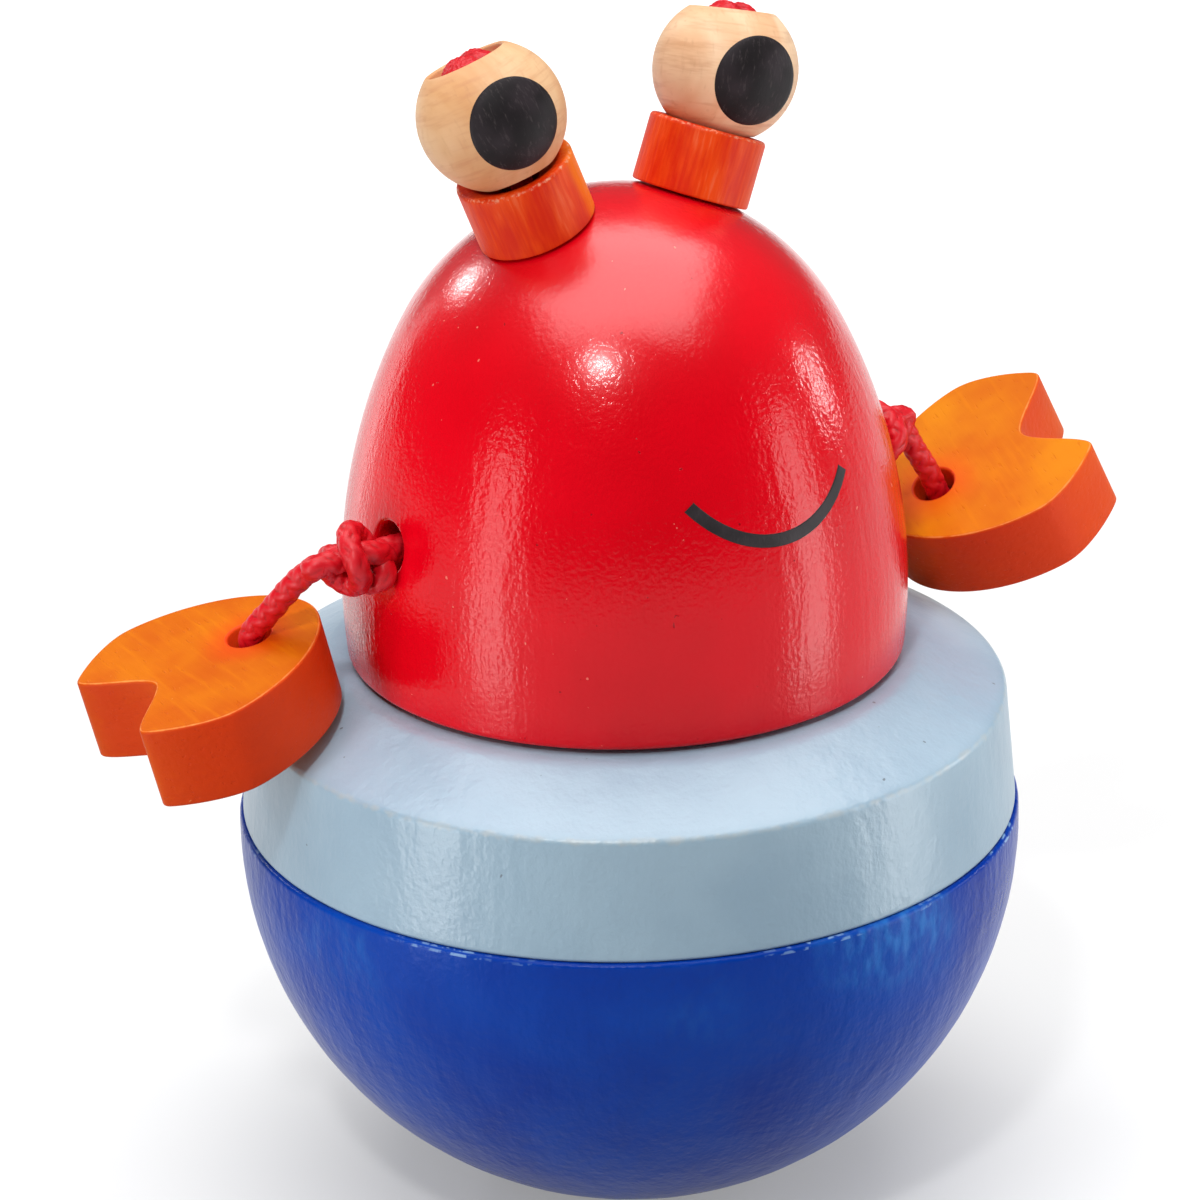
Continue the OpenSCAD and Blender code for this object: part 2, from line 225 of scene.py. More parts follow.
def make_finish(name, recipe, *details):
    material, bench = new_finish(name)
    base, roughness, height, gloss, *more = recipe(bench, *details)
    bump = bench.node("ShaderNodeBump", {"Height": height, "Distance": 1.0, "Strength": 1.0})
    sockets = {"Base Color": base, "Roughness": roughness, "Normal": bump, "Specular IOR Level": gloss}
    surface = bench.node("ShaderNodeBsdfPrincipled", {**sockets, **dict(*more)})
    bench.node("ShaderNodeOutputMaterial", {"Surface": surface})
    print("finish", name, "has", len(material.node_tree.nodes), "nodes")
    return material


# %% [markdown]
# ## Trees become plain meshes
# A Geometry Nodes tree needs something to work on. Here that is a bare line of points: the outline that
# a lathe turns, or the route that a cord follows. The result is copied to a plain mesh, and the line and
# its modifier are thrown away, so that each finished piece is only a mesh at the origin.

# %% Run a tree along a line


def new_tree(name, inputs):
    tree = bpy.data.node_groups.new(name, "GeometryNodeTree")
    tree.interface.new_socket("Line", in_out="INPUT", socket_type="NodeSocketGeometry")
    for label, kind in inputs.items():
        tree.interface.new_socket(label, in_out="INPUT", socket_type="NodeSocket" + kind)
    tree.interface.new_socket("Piece", in_out="OUTPUT", socket_type="NodeSocketGeometry")
    bench = Bench(tree)
    entry = tree.nodes.new("NodeGroupInput")
    given = {socket.name: Wire(bench, socket) for socket in entry.outputs if socket.name}
    return bench, given


def end_tree(bench, geometry, material):
    real = bench.node("GeometryNodeRealizeInstances", {0: geometry})
    painted = bench.node("GeometryNodeSetMaterial", {"Geometry": real, "Material": material})
    bench.node("NodeGroupOutput", {0: painted})
    return bench.tree


def store(bench, geometry, name, value, kind):
    sockets = {"Geometry": geometry, "Name": name, "Value": value}
    return bench.node("GeometryNodeStoreNamedAttribute", sockets, data_type=kind, domain="POINT")


def show(name, mesh):
    piece = bpy.data.objects.new(name + "_look", mesh)
    bpy.context.scene.collection.objects.link(piece)
    return piece


def run_tree(name, tree, line, closed, values):
    links = [(i, i + 1) for i in range(len(line) - 1)]
    if closed:
        links.append((len(line) - 1, 0))
    mesh = bpy.data.meshes.new(name + "_line")
    mesh.from_pydata([tuple(map(float, point)) for point in line], links, [])
    source = show(name + "_line", mesh)
    modifier = source.modifiers.new("tree", "NODES")
    modifier.node_group = tree
    for socket in tree.interface.items_tree:
        if socket.in_out == "INPUT" and socket.name in values:
            modifier[socket.identifier] = values[socket.name]
    depsgraph = bpy.context.evaluated_depsgraph_get()
    made = bpy.data.meshes.new_from_object(
        source.evaluated_get(depsgraph), preserve_all_data_layers=True, depsgraph=depsgraph)
    source.modifiers.clear()
    bpy.data.objects.remove(source)
    made.shade_smooth()
    piece = show(name, made)
    print(name, "has", len(made.polygons), "faces")
    return piece


# %% [markdown]
# ## Cord finish
# The cord is a waxed red braid. The finish reads how high each place stands in the braid: the backs of
# the strands get a painted pinkish highlight, and where they cross they sink to a painted deeper red
# shade.

# %% Waxed red cord


def red_cord(bench):
    lift = own_value(bench, "lift")
    place = place_of(bench)
    fibre = bench.noise(place, 5200, 2.0)
    patch = bench.noise(place, 520, 2.0)
    # Painted highlight: a pinkish colour on the highest backs of the strands.
    wear_and_highlight = bench.rise(lift + 0.6 * patch, 1.25, 1.6) * 0.5
    # Painted shade: the base runs to a deeper red where the braid sinks between its strands.
    base = bench.mix(bench.rise(lift, 0.3, 0.8), (172, 4, 18), (206, 10, 28))
    base = bench.mix(wear_and_highlight, base, (224, 46, 58))
    return base, 0.34 + 0.16 * fibre, 0.008 * mm * fibre + 0.05 * mm * patch, 0.4


cord_finish = make_finish("red_cord", red_cord)

# %% [markdown]
# ## Braid
# A round braid is strands that run both ways around a core, over one and under the next. Modelling each
# strand leaves gaps and hidden walls, so the tree sweeps one tube and lifts its skin: two sets of ridges
# wind left and right, and a wave along the cord says which set is on top.

# %% Braid tree
cord_d = 2.4 * mm
cord_sides = 48
ridge_power = 0.6
ridge_blend = 0.08


def braid_tree():
    inputs = {
        "Diameter": "Float", "Strands each way": "Float", "Lay length": "Float",
        "Ridge depth": "Float", "Crossing depth": "Float", "Finish": "Material"}
    bench, given = new_tree("braid", inputs)
    route = bench.node("GeometryNodeMeshToCurve", {0: given["Line"]})
    run = bench.node("GeometryNodeSplineParameter", out="Length")
    route = store(bench, route, "along", run, "FLOAT")
    route = store(bench, route, "middle", bench.node("GeometryNodeInputPosition"), "FLOAT_VECTOR")
    around = bench.node("GeometryNodeSplineParameter", out="Factor") * math.tau
    sockets = {"Resolution": cord_sides, "Radius": given["Diameter"] / 2}
    ring = bench.node("GeometryNodeCurvePrimitiveCircle", sockets)
    ring = store(bench, ring, "around", around, "FLOAT")
    sockets = {"Curve": route, "Profile Curve": ring, "Fill Caps": True}
    tube = bench.node("GeometryNodeCurveToMesh", sockets)

    def stored(name, kind):
        return bench.node("GeometryNodeInputNamedAttribute", {"Name": name}, data_type=kind)

    def ridges(place):
        wave = bench.maths("COSINE", place * (given["Strands each way"] / 2))
        return bench.maths("POWER", abs(wave), ridge_power)

    turn = stored("along", "FLOAT") * (math.tau / given["Lay length"])
    angle = stored("around", "FLOAT")
    over = bench.maths("COSINE", turn * given["Strands each way"]) * given["Crossing depth"]
    pair = ridges(angle - turn) + over, ridges(angle + turn) - over
    tube = store(bench, tube, "lift", bench.maths("SMOOTH_MAX", *pair, ridge_blend), "FLOAT")
    middle = stored("middle", "FLOAT_VECTOR")
    reach = bench.vector("SUBTRACT", bench.node("GeometryNodeInputPosition"), middle)
    size = 1 + given["Ridge depth"] * (stored("lift", "FLOAT") - 1)
    reach = bench.node("ShaderNodeVectorMath", {0: reach, "Scale": size}, operation="SCALE")
    sockets = {"Geometry": tube, "Position": bench.vector("ADD", middle, reach)}
    return end_tree(bench, bench.node("GeometryNodeSetPosition", sockets), given["Finish"])


braid = braid_tree()
print("braid tree has", len(braid.nodes), "nodes")

# %% [markdown]
# ## Cord routes
# One cord runs through the dome and carries both claws, another loops up through both eyes. Their routes
# are short lists of points, in millimetres, the same as in the construction. A Catmull-Rom
# curve passes through every point, so a list of a dozen places gives a smooth line.

# %% Routes of the cords


def smooth_line(points, step):
    """Catmull-Rom curve through the points, with places about a step apart."""
    points = np.array(points, float)
    ends = [2 * points[0] - points[1]], [2 * points[-1] - points[-2]]
    points = np.concatenate([ends[0], points, ends[1]])
    line = []
    for before, here, there, after in zip(points, points[1:], points[2:], points[3:]):
        count = max(2, round(np.linalg.norm(there - here) / step))
        for t in np.arange(count) / count:
            line.append(0.5 * (
                2 * here + (there - before) * t
                + (2 * before - 5 * here + 4 * there - after) * t ** 2
                + (3 * here - before - 3 * there + after) * t ** 3))
    line.append(points[-2])
    return np.array(line)


def unit(way):
    """Direction of a vector, or of each row of an array."""
    return way / np.linalg.norm(way, axis=-1, keepdims=True)


def length_of(line):
    return float(np.linalg.norm(np.diff(line, axis=0), axis=1).sum())


def braid_along(name, line, diameter=cord_d):
    values = {
        "Diameter": diameter, "Strands each way": 4.0, "Lay length": 8.8 * mm,
        "Ridge depth": 0.2, "Crossing depth": 0.22, "Finish": cord_finish}
    return run_tree(name, braid, line, False, values)


swing_at = {side: np.array(joints[side + "_claw_swing"]["pos_m"]) for side in sides}
hang_points = {
    "left": [
        [0, 0, 0], [-0.7, 1.2, -0.8], [-1.4, 2.8, -2.3], [-2.1, 4.4, -4.2], [-2.8, 6.1, -6.3],
        [-3.5, 7.6, -8.1], [-3.7, 8.4, -9.8], [-3, 8.6, -12.2], [-2.3, 8.6, -14.8]],
    "right": [
        [0, 0, 0], [0.4, 0, -1], [1, -0.1, -2.3], [1.8, -0.2, -3.8], [2.8, -0.3, -5.4],
        [3.8, -0.4, -7.1], [4.7, -0.3, -8.9], [5.9, -0.1, -10.9], [7.4, 0.3, -13.5]]}
cord_step = 0.12 * mm
inner_end = 19 * mm
hang_lines = {}
for side, sign in sides.items():
    start = [sign * inner_end - swing_at[side][0], 0, 0]
    halfway = [start[0] / 2, 0, 0]
    hang = np.concatenate([[start, halfway], np.array(hang_points[side]) * mm])
    hang_lines[side] = swing_at[side] + smooth_line(hang, cord_step)
    print(side, "cord length in mm", round(length_of(hang_lines[side]) / mm, 1))

# %% [markdown]
# ## Claw cords
# Each claw hangs on a free end of the cord, which turns where it leaves its knot. Each end is braided
# along its route and baked into place, and the stretch through the dome is braided straight and goes with
# the root, as the dome does.

# %% Braid the claw cords
bend_span = 3 * mm
inner_points = 160
for side, sign in sides.items():
    piece = braid_along("claw_cord_" + side, hang_lines[side])
    bend_way = np.array(hang_points[side][2]) * mm
    bend_way[0] = sign * abs(bend_way[0])
    bend_end = swing_at[side] + bend_span * unit(bend_way)
    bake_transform(piece)
    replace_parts(piece, "claw_cord_" + side)

hole_z = swing_at["left"][2]
inner_line = np.linspace([-inner_end, 0, hole_z], [inner_end, 0, hole_z], inner_points)
inner_cord = braid_along("claw_cord", inner_line)
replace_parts(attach(inner_cord, "root"), "claw_cord")

# %% [markdown]
# ## Stopper knots
# Outside each hole the cord is tied in a tight overhand knot, which keeps it from slipping back. Its
# route is given in three directions: out from the hole, to the front, and up. The right knot is
# the mirror image of the left one, and its claw pulls it down a little.

# %% Tie the stopper knots
knot_points = [
    [-3.5, 0, -0.4], [-1.6, 0.1, -0.4], [0.6, 0.9, -0.1], [2.4, 1.5, 0.6], [4.2, 0.9, 0.9],
    [5.6, -0.5, 0.4], [4.9, -2.4, -0.5], [3.6, -1.9, -2.1], [2.4, 0, -2.9], [1.5, 1.6, -2.3],
    [1.3, 1.5, -1.1], [1.6, -0.6, 0.2], [2.6, -1.2, 1.7], [4, -0.2, 2.5], [4.9, 1.3, 2],
    [5, 2.5, 0.6], [4.4, 2.3, -1], [4, 1, -2.4], [4.7, -0.3, -2.5], [5.9, -0.6, -1.3],
    [6.8, -0.1, -0.3], [7.8, 0, 0]]
hole_x = 27.7 * mm
knot_droop = {"left": 0.0, "right": 0.3}
knot_cord_d = 2.3 * mm
for side, sign in sides.items():
    out, front, up = (np.array(knot_points) * mm).T
    up[2:-2] -= knot_droop[side] * out[2:-2]
    line = np.column_stack([sign * (hole_x + out), -front, hole_z + up])
    line = smooth_line(line, cord_step)
    piece = braid_along("dome_knot_" + side, line, knot_cord_d)
    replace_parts(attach(piece, "root"), "dome_knot_" + side)
    print(side, "knot takes", round(length_of(line) / mm, 1), "mm of cord")

# %% [markdown]
# ## Eye cord
# The second cord loops inside the dome and comes up through a stalk and a bead on each side. Only its
# tied ends show, but the whole cord is there, as it would be on a bench.

# %% Braid the eye cord
dome_low, dome_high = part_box("body_dome")
dome_r = (dome_high - dome_low).x / 2
top_share = 0.86
top_r = dome_r * top_share
top_middle = np.array([0, 0, dome_high.z - top_r])
half_loop = [
    [-8.4, 0.6, 21.1], [-6.6, 0.4, 16.7], [-5.2, 0.3, 13.1], [-4.2, 0.2, 9.9], [-4.4, 0.2, 6.9],
    [-4.8, 0.2, 3.9], [-4.2, 0.2, 0.9], [-2.4, 0.2, -1.1], [0, 0.2, -1.7]]
eye_points = half_loop + [[-x, y, z] for x, y, z in half_loop[-2::-1]]
eye_line = top_middle + smooth_line(np.array(eye_points) * mm, cord_step)
eye_cord = braid_along("eye_cord", eye_line)
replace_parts(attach(eye_cord, "root"), "eye_cord")


def frame_matrix(x_axis, y_axis, z_axis, origin):
    """Matrix that carries local places into the frame."""
    rows = np.column_stack([x_axis, y_axis, z_axis, origin])
    return Matrix(np.vstack([rows, [0, 0, 0, 1]]).tolist())


def joint_frame(name):
    """Origin and axes of a joint: z along it, y as near to the frame's +Y as it can be."""
    origin = np.array(joints[name]["pos_m"])
    z_axis = unit(np.array(joints[name]["axis"], float))
    y_axis = unit(np.array([0, 1, 0]) - z_axis[1] * z_axis)
    return frame_matrix(np.cross(y_axis, z_axis), y_axis, z_axis, origin)


bead_r = 7.2 * mm
eye_knot_rise = 3.2 * mm
bend_share = 0.3
for side in sides:
    stalk_place = joint_frame(side + "_stalk_spin")
    bead_place = joint_frame(side + "_bead_spin")
    stalk_way = np.array(stalk_place.col[2][:3])
    bead_way = np.array(bead_place.col[2][:3])
    pull = stalk_way * (1 - bend_share) + bead_way * bend_share
    bead_middle = np.array(bead_place.translation)
    route = [
        stalk_place.translation, bead_middle - bead_r * unit(pull),
        bead_middle + eye_knot_rise * bead_way]
    piece = braid_along("eye_cord_end_" + side, smooth_line(route, cord_step))
    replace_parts(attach(piece, "eye_line_" + side), "eye_cord_end_" + side)

# %% [markdown]
# ## Knots that fill a hole
# In the tops of the beads, and under the claws, the cord ends in a small tight knot. Pressed into its
# hole it reads as a felted lump of two lobes. A ball of points is drawn in along a crease and roughened
# with smooth noise, which is quicker and truer than tying a knot that nobody can follow with the eye.

# %% Felted end knots
ball_columns = 144
ball_rows = 96
crease_w = 0.16
lump_scale = 2.6
fuzz_scale = 14


def places_of(mesh):
    return np.array([vertex.co for vertex in mesh.vertices])


def keep_values(mesh, name, values):
    """Stores a number or a place for each point of a mesh."""
    values = np.asarray(values, np.float32)
    kind, field = ("FLOAT", "value") if values.ndim == 1 else ("FLOAT_VECTOR", "vector")
    mesh.attributes.new(name, kind, "POINT").data.foreach_set(field, values.ravel())


def finished_mesh(name, finish, change, points=(), faces=()):
    """Smooth mesh with one finish, after a change to its points and faces."""
    mesh = bpy.data.meshes.new(name)
    mesh.from_pydata(points, [], faces)
    made = bmesh.new()
    made.from_mesh(mesh)
    change(made)
    made.to_mesh(mesh)
    made.free()
    mesh.materials.append(finish)
    mesh.shade_smooth()
    return mesh


def add_ball(made):
    bmesh.ops.create_uvsphere(made, u_segments=ball_columns, v_segments=ball_rows, radius=1)


def felted_knot(name, radius, crease_turn, seed, squash, place):
    mesh = finished_mesh(name, cord_finish, add_ball)
    ways = places_of(mesh)
    across = ways[:, 0] * math.cos(crease_turn) + ways[:, 1] * math.sin(crease_turn)
    crease = np.exp(-(across / crease_w) ** 2) * np.clip(ways[:, 2] + 0.2, 0, 1)
    shift = Vector((seed, 2 * seed, 3 * seed))
    lumps, fuzz = (
        np.array([noise.noise(Vector(way) * scale + shift) for way in ways])
        for scale in (lump_scale, fuzz_scale))
    size = radius * (1.0 - 0.1 * crease + 0.035 * lumps + 0.03 * fuzz)
    places = ways * size[:, None]
    places[:, 2] *= np.where(places[:, 2] > 0, squash, 1)
    mesh.vertices.foreach_set("co", places.astype(np.float32).ravel())
    # Through the cord finish this lift paints the crease a deeper red shade and the lumps a pinkish
    # highlight.
    keep_values(mesh, "lift", 0.85 - 0.35 * crease + 0.2 * lumps + 0.5 * fuzz)
    mesh.transform(place)
    print(name, "has", len(mesh.polygons), "faces")
    return show(name, mesh)


eye_knots = {"left": (0.25, 3.0, 0.95), "right": (-0.1, 5.0, 1.0)}
claw_knots = {"left": (1.2, 7.0, 1.0), "right": (0.6, 9.0, 1.0)}
eye_knot_r = 3.6 * mm
end_knot_r = 2.8 * mm
end_knot_fall = 5.9 * mm
for side in sides:
    place = joint_frame(side + "_bead_spin") @ Matrix.Translation((0, 0, eye_knot_rise))
    knot = felted_knot("eye_knot_" + side, eye_knot_r, *eye_knots[side], place)
    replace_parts(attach(knot, "eye_line_" + side), "eye_knot_" + side)
    place = joint_frame(side + "_claw_twist") @ Matrix.Translation((0, 0, -end_knot_fall))
    end_knot = felted_knot("claw_end_knot_" + side, end_knot_r, *claw_knots[side], place)
    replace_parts(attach(end_knot, "claw_line_" + side), "claw_end_knot_" + side)

# %% [markdown]
# ## The lathe
# Base, ring, stalks and beads are turned: one outline spun about an axis. Blender's Spin would do it
# once, but a tree keeps the rule and turns all six pieces. It also stores where each point was on the
# lathe, so that a finish can follow the turning after a piece is tilted into place.

# %% Lathe tree
lathe_r = 100 * mm
lathe_weld = 0.0005 * mm
wobble_scale = 260.0
arc_steps = 9


def lathe_tree():
    inputs = {"Steps around": "Int", "Wobble depth": "Float", "Finish": "Material"}
    bench, given = new_tree("lathe", inputs)
    outline = bench.node("GeometryNodeMeshToCurve", {0: given["Line"]})
    sockets = {"Resolution": given["Steps around"], "Radius": lathe_r}
    circle = bench.node("GeometryNodeCurvePrimitiveCircle", sockets)
    circle = bench.node("GeometryNodeSetCurveNormal", {0: circle}, mode="Z_UP")
    solid = bench.node("GeometryNodeCurveToMesh", {"Curve": circle, "Profile Curve": outline})
    solid = bench.node("GeometryNodeMergeByDistance", {"Geometry": solid, "Distance": lathe_weld})
    where = bench.node("GeometryNodeInputPosition")
    solid = store(bench, solid, "turned", where, "FLOAT_VECTOR")
    uneven = bench.node("ShaderNodeTexNoise", {"Scale": wobble_scale, "Detail": 2.0}) - 0.5
    outward = bench.node("GeometryNodeInputNormal")
    sockets = {0: outward, "Scale": uneven * given["Wobble depth"]}
    shift = bench.node("ShaderNodeVectorMath", sockets, operation="SCALE")
    solid = bench.node("GeometryNodeSetPosition", {"Geometry": solid, "Offset": shift})
    return end_tree(bench, solid, given["Finish"])


lathe = lathe_tree()


def rounded(corners, step, closed=False):
    """Outline through corners of (radius, height, rounding), with arcs and evenly split straights."""
    spots = [np.array(corner[:2], float) for corner in corners]
    arcs = []
    for i, (spot, corner) in enumerate(zip(spots, corners)):
        ease = corner[2] if len(corner) > 2 else 0
        if ease == 0:
            arcs.append([spot])
            continue
        back = unit(spots[i - 1] - spot)
        ahead = unit(spots[(i + 1) % len(spots)] - spot)
        half = math.acos(float(np.clip(back @ ahead, -1, 1))) / 2
        middle = spot + unit(back + ahead) * ease / math.sin(half)
        first = spot + back * ease / math.tan(half) - middle
        last = spot + ahead * ease / math.tan(half) - middle
        sweep = math.pi - 2 * half
        shares = np.linspace(0, 1, arc_steps)
        arcs.append([
            middle + (first * math.sin((1 - s) * sweep) + last * math.sin(s * sweep)) / math.sin(sweep)
            for s in shares])
    outline = []
    for i, arc in enumerate(arcs):
        outline.extend(arc)
        if i + 1 < len(arcs) or closed:
            here, there = arc[-1], arcs[(i + 1) % len(arcs)][0]
            count = max(1, round(np.linalg.norm(there - here) / step))
            outline.extend(here + (there - here) * k / count for k in range(1, count))
    return outline


def arc_points(middle_r, middle_z, radius, start, end, count):
    """Places on a circle, at angles from the outward direction."""
    angles = np.linspace(start, end, count)
    return [(middle_r + radius * math.cos(a), middle_z + radius * math.sin(a)) for a in angles]


def turn_piece(name, outline, finish, place=None, steps=192, closed=False, wobble=0.04 * mm):
    line = [(r - lathe_r, -z, 0) for r, z in outline]
    values = {"Steps around": steps, "Wobble depth": wobble, "Finish": finish}
    piece = run_tree(name, lathe, line, closed, values)
    if place is not None:
        piece.data.transform(place)
    return piece


print("lathe tree has", len(lathe.nodes), "nodes")

# %% [markdown]
# ## Blue base
# The half-ball is dipped in thick blue lacquer. The brush left ripples that run down from the rim, and
# broad reflections break up on them. Lighter blue patches near the rim are a painted sheen, and pale
# dashes on the rim's rounded edge are painted highlights. The pocket for the ballast is bored before the
# ring goes on.

# %% Blue lacquer


def blue_lacquer(bench):
    place = place_of(bench)
    cloud = bench.noise(place, 45)
    runs = bench.noise(bench.stretch(place, (1, 1, 0.3)), 420)
    peel = bench.noise(place, 1000)
    edge = own_value(bench, "edge")
    # Painted sheen: lighter blue patches near the rim, rippled along the runs.
    patch = bench.rise(bench.noise(place, 38, 2.0), 0.5, 0.62) * bench.rise(edge, 0.25, 0.85)
    ripple = bench.rise(bench.noise(bench.stretch(place, (1, 1, 0.4)), 800), 0.4, 0.7)
    # Painted highlights: pale dashes on the rim's rounded edge, broken up by a noise.
    crest = bench.rise(edge, 0.960, 0.968) * (1 - bench.rise(edge, 0.978, 0.985))
    wear_and_highlight = bench.rise(bench.noise(place, 90, 1.0), 0.42, 0.6)
    painted_rim_glint = crest * wear_and_highlight * bench.rise(bench.noise(place, 900, 2.0), 0.5, 0.6)
    base = bench.blotch(cloud, (0, 48, 148), (6, 68, 170))
    base = bench.coats(
        base, (patch * (0.1 + 0.5 * ripple), (52, 132, 210)), (painted_rim_glint * 0.5, (176, 218, 246)))
    return base, 0.22 + 0.14 * cloud, 0.2 * mm * runs + 0.1 * mm * peel, 0.12


base_finish = make_finish("blue_lacquer", blue_lacquer)

# %% Turn the base
ball_r = 40 * mm
foot_r = 4 * mm
ball_z = math.sqrt(ball_r ** 2 - foot_r ** 2)
pocket_r = 16 * mm
pocket_z = 7 * mm
rim_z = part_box("base_bowl")[1].z
rim_ease = 0.5 * mm
rim_reach = 14 * mm
rim_angle = math.asin((rim_z - rim_ease - ball_z) / ball_r)
rim_edge = ball_r * math.cos(rim_angle)
lip = arc_points(rim_edge - rim_ease, rim_z - rim_ease, rim_ease, math.pi / 2, 0, count=9)
belly = arc_points(0, ball_z, ball_r, rim_angle, -math.acos(foot_r / ball_r), count=120)
outline = rounded([(0, pocket_z), (pocket_r, pocket_z), (pocket_r, rim_z), lip[0]], step=2 * mm)
outline += lip[1:] + belly[1:] + [(foot_r / 2, 0), (0, 0)]
base_bowl = turn_piece("base_bowl", outline, base_finish, steps=256, wobble=0.12 * mm)


def mark_edge(piece, radius, height, reach):
    """Stores a value that is 1 at a turned edge and 0 beyond its reach, for wear, and on the bowl for its
    painted sheen and highlights.
    """
    places = np.empty(len(piece.data.vertices) * 3, np.float32)
    piece.data.attributes["turned"].data.foreach_get("vector", places)
    places = places.reshape(-1, 3)
    away = np.hypot(np.hypot(places[:, 0], places[:, 1]) - radius, places[:, 2] - height)
    keep_values(piece.data, "edge", np.clip(1 - away / reach, 0, 1))


mark_edge(base_bowl, rim_edge, rim_z, rim_reach)
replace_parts(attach(base_bowl, "root"), "base_bowl")
print("rim at", round(rim_z / mm, 2), "mm, ball", round(2 * ball_r / mm), "mm across")

# %% [markdown]
# ## Pale ring
# The ring is satin pale blue. Its deck is painted lighter than its side, as painted light from the lamps
# overhead. Handling has rubbed its shoulder to warm specks, the brush marks run around it, and a few dark
# dust points sit in the paint.

# %% Pale lacquer
ring_low, ring_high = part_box("deck_ring")
side_h = 12.2 * mm
shoulder_z = ring_low.z + side_h


def pale_lacquer(bench):
    place = place_of(bench)
    cloud = bench.noise(place, 70)
    brush = bench.noise(bench.stretch(place, (1, 1, 0.4)), 420)
    peel = bench.noise(place, 1500, 2.0)
    rub = bench.rise(own_value(bench, "edge") + 0.6 * bench.noise(place, 800), 1.12, 1.35)
    # Painted light: the deck is listed lighter than the side, for the light that falls on it from above.
    side = bench.blotch(cloud, (136, 163, 182), (149, 175, 192))
    deck = bench.blotch(cloud, (152, 177, 196), (165, 189, 206))
    painted_top_light = bench.rise(bench.part(place, "Z"), shoulder_z - 0.4 * mm, shoulder_z + 0.6 * mm)
    dust = bench.specks(place, 900, 0.80)
    base = bench.coats(
        side, (painted_top_light, deck), (rub * 0.28, (196, 184, 164)), (dust * 0.7, (82, 84, 92)))
    return base, 0.26 + 0.14 * cloud, 0.16 * mm * brush + 0.06 * mm * peel, 0.7


ring_finish = make_finish("pale_lacquer", pale_lacquer)

# %% Turn the ring
ring_r = ring_high.x
bore_r = 7.1 * mm
side_draw = 1.1 * mm
land_r = 30 * mm
shoulder_r = ring_r - side_draw
corners = [
    (bore_r, ring_high.z, 0), (land_r, ring_high.z, 3 * mm), (shoulder_r, shoulder_z, 0.9 * mm),
    (ring_r, ring_low.z, 0.45 * mm), (bore_r, ring_low.z, 0)]
outline = rounded(corners, step=0.5 * mm, closed=True)
deck_ring = turn_piece("deck_ring", outline, ring_finish, steps=256, closed=True, wobble=0.06 * mm)
mark_edge(deck_ring, shoulder_r, shoulder_z, 2.5 * mm)
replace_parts(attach(deck_ring, "root"), "deck_ring")

# %% [markdown]
# ## Red dome
# The dome is a long side arc that runs into a rounder top, where hands have polished it. Two cord holes
# pierce it, with rims that the lacquer softens. A boolean cut would leave them hard and ragged, so the
# skin is a grid of points with a window left out at each hole, and rings of faces that close in from the
# window to the rim, turn over it and go inside.

# %% Red lacquer
polish_low = 89 * mm
polish_high = 101 * mm


def red_lacquer(bench):
    place = place_of(bench)
    cloud = bench.noise(place, 50)
    grain = bench.noise(bench.stretch(place, (1, 1, 0.15)), 800)
    peel = bench.noise(place, 2200, 2.0)
    pit = bench.specks(place, 1500)
    dust = bench.specks(bench.vector("ADD", place, (0.3, 0.1, 0.2)), 1300)
    base = bench.blotch(cloud, (210, 0, 18), (226, 1, 24))
    base = bench.coats(base, (pit * 0.6, (120, 0, 14)), (dust * 0.7, (246, 130, 110)))
    rough = 0.13 + 0.08 * cloud + 0.2 * dust
    height = 0.08 * mm * grain + 0.05 * mm * peel - 0.04 * mm * pit + 0.03 * mm * dust
    polish = bench.rise(bench.part(place, "Z"), polish_low, polish_high)
    return base, rough, height, 0.26, {"Coat Weight": polish, "Coat Roughness": 0.25}


dome_finish = make_finish("red_lacquer", red_lacquer)

# %% Shape of the dome
dome_z = dome_low.z
belly_h = 7 * mm
top_h = top_middle[2] - dome_z
arc_rise = top_h - belly_h
side_r = (arc_rise ** 2 + dome_r ** 2 - top_r ** 2) / (2 * (dome_r - top_r))
side_x = dome_r - side_r
touch_angle = math.asin(arc_rise / (side_r - top_r))
foot_ease = 0.7 * mm
foot_gap = 0.5 * mm
foot_angle = -math.asin((belly_h - foot_gap - foot_ease) / side_r)
base_r = side_x + side_r * math.cos(foot_angle)
foot_z = dome_z + foot_gap + foot_ease
foot_arc = arc_points(base_r - foot_ease, foot_z, foot_ease, -math.pi / 2, 0, count=9)
side_arc = arc_points(side_x, dome_z + belly_h, side_r, foot_angle, touch_angle, count=76)
top_arc = arc_points(0, top_middle[2], top_r, touch_angle, math.pi / 2, count=60)
skin_outline = np.array(foot_arc + side_arc[1:] + top_arc[1:-1])
print("dome arcs in mm", round(side_r / mm, 2), round(top_r / mm, 2))


def dome_reach(z):
    """Radius of the dome's skin at a height."""
    z = np.asarray(z)
    side = side_x + np.sqrt(np.maximum(side_r ** 2 - (z - dome_z - belly_h) ** 2, 0))
    top = np.sqrt(np.maximum(top_r ** 2 - (z - top_middle[2]) ** 2, 0))
    return np.where(z < top_middle[2] + top_r * math.sin(touch_angle), side, top)


# %% Rings of points make a skin


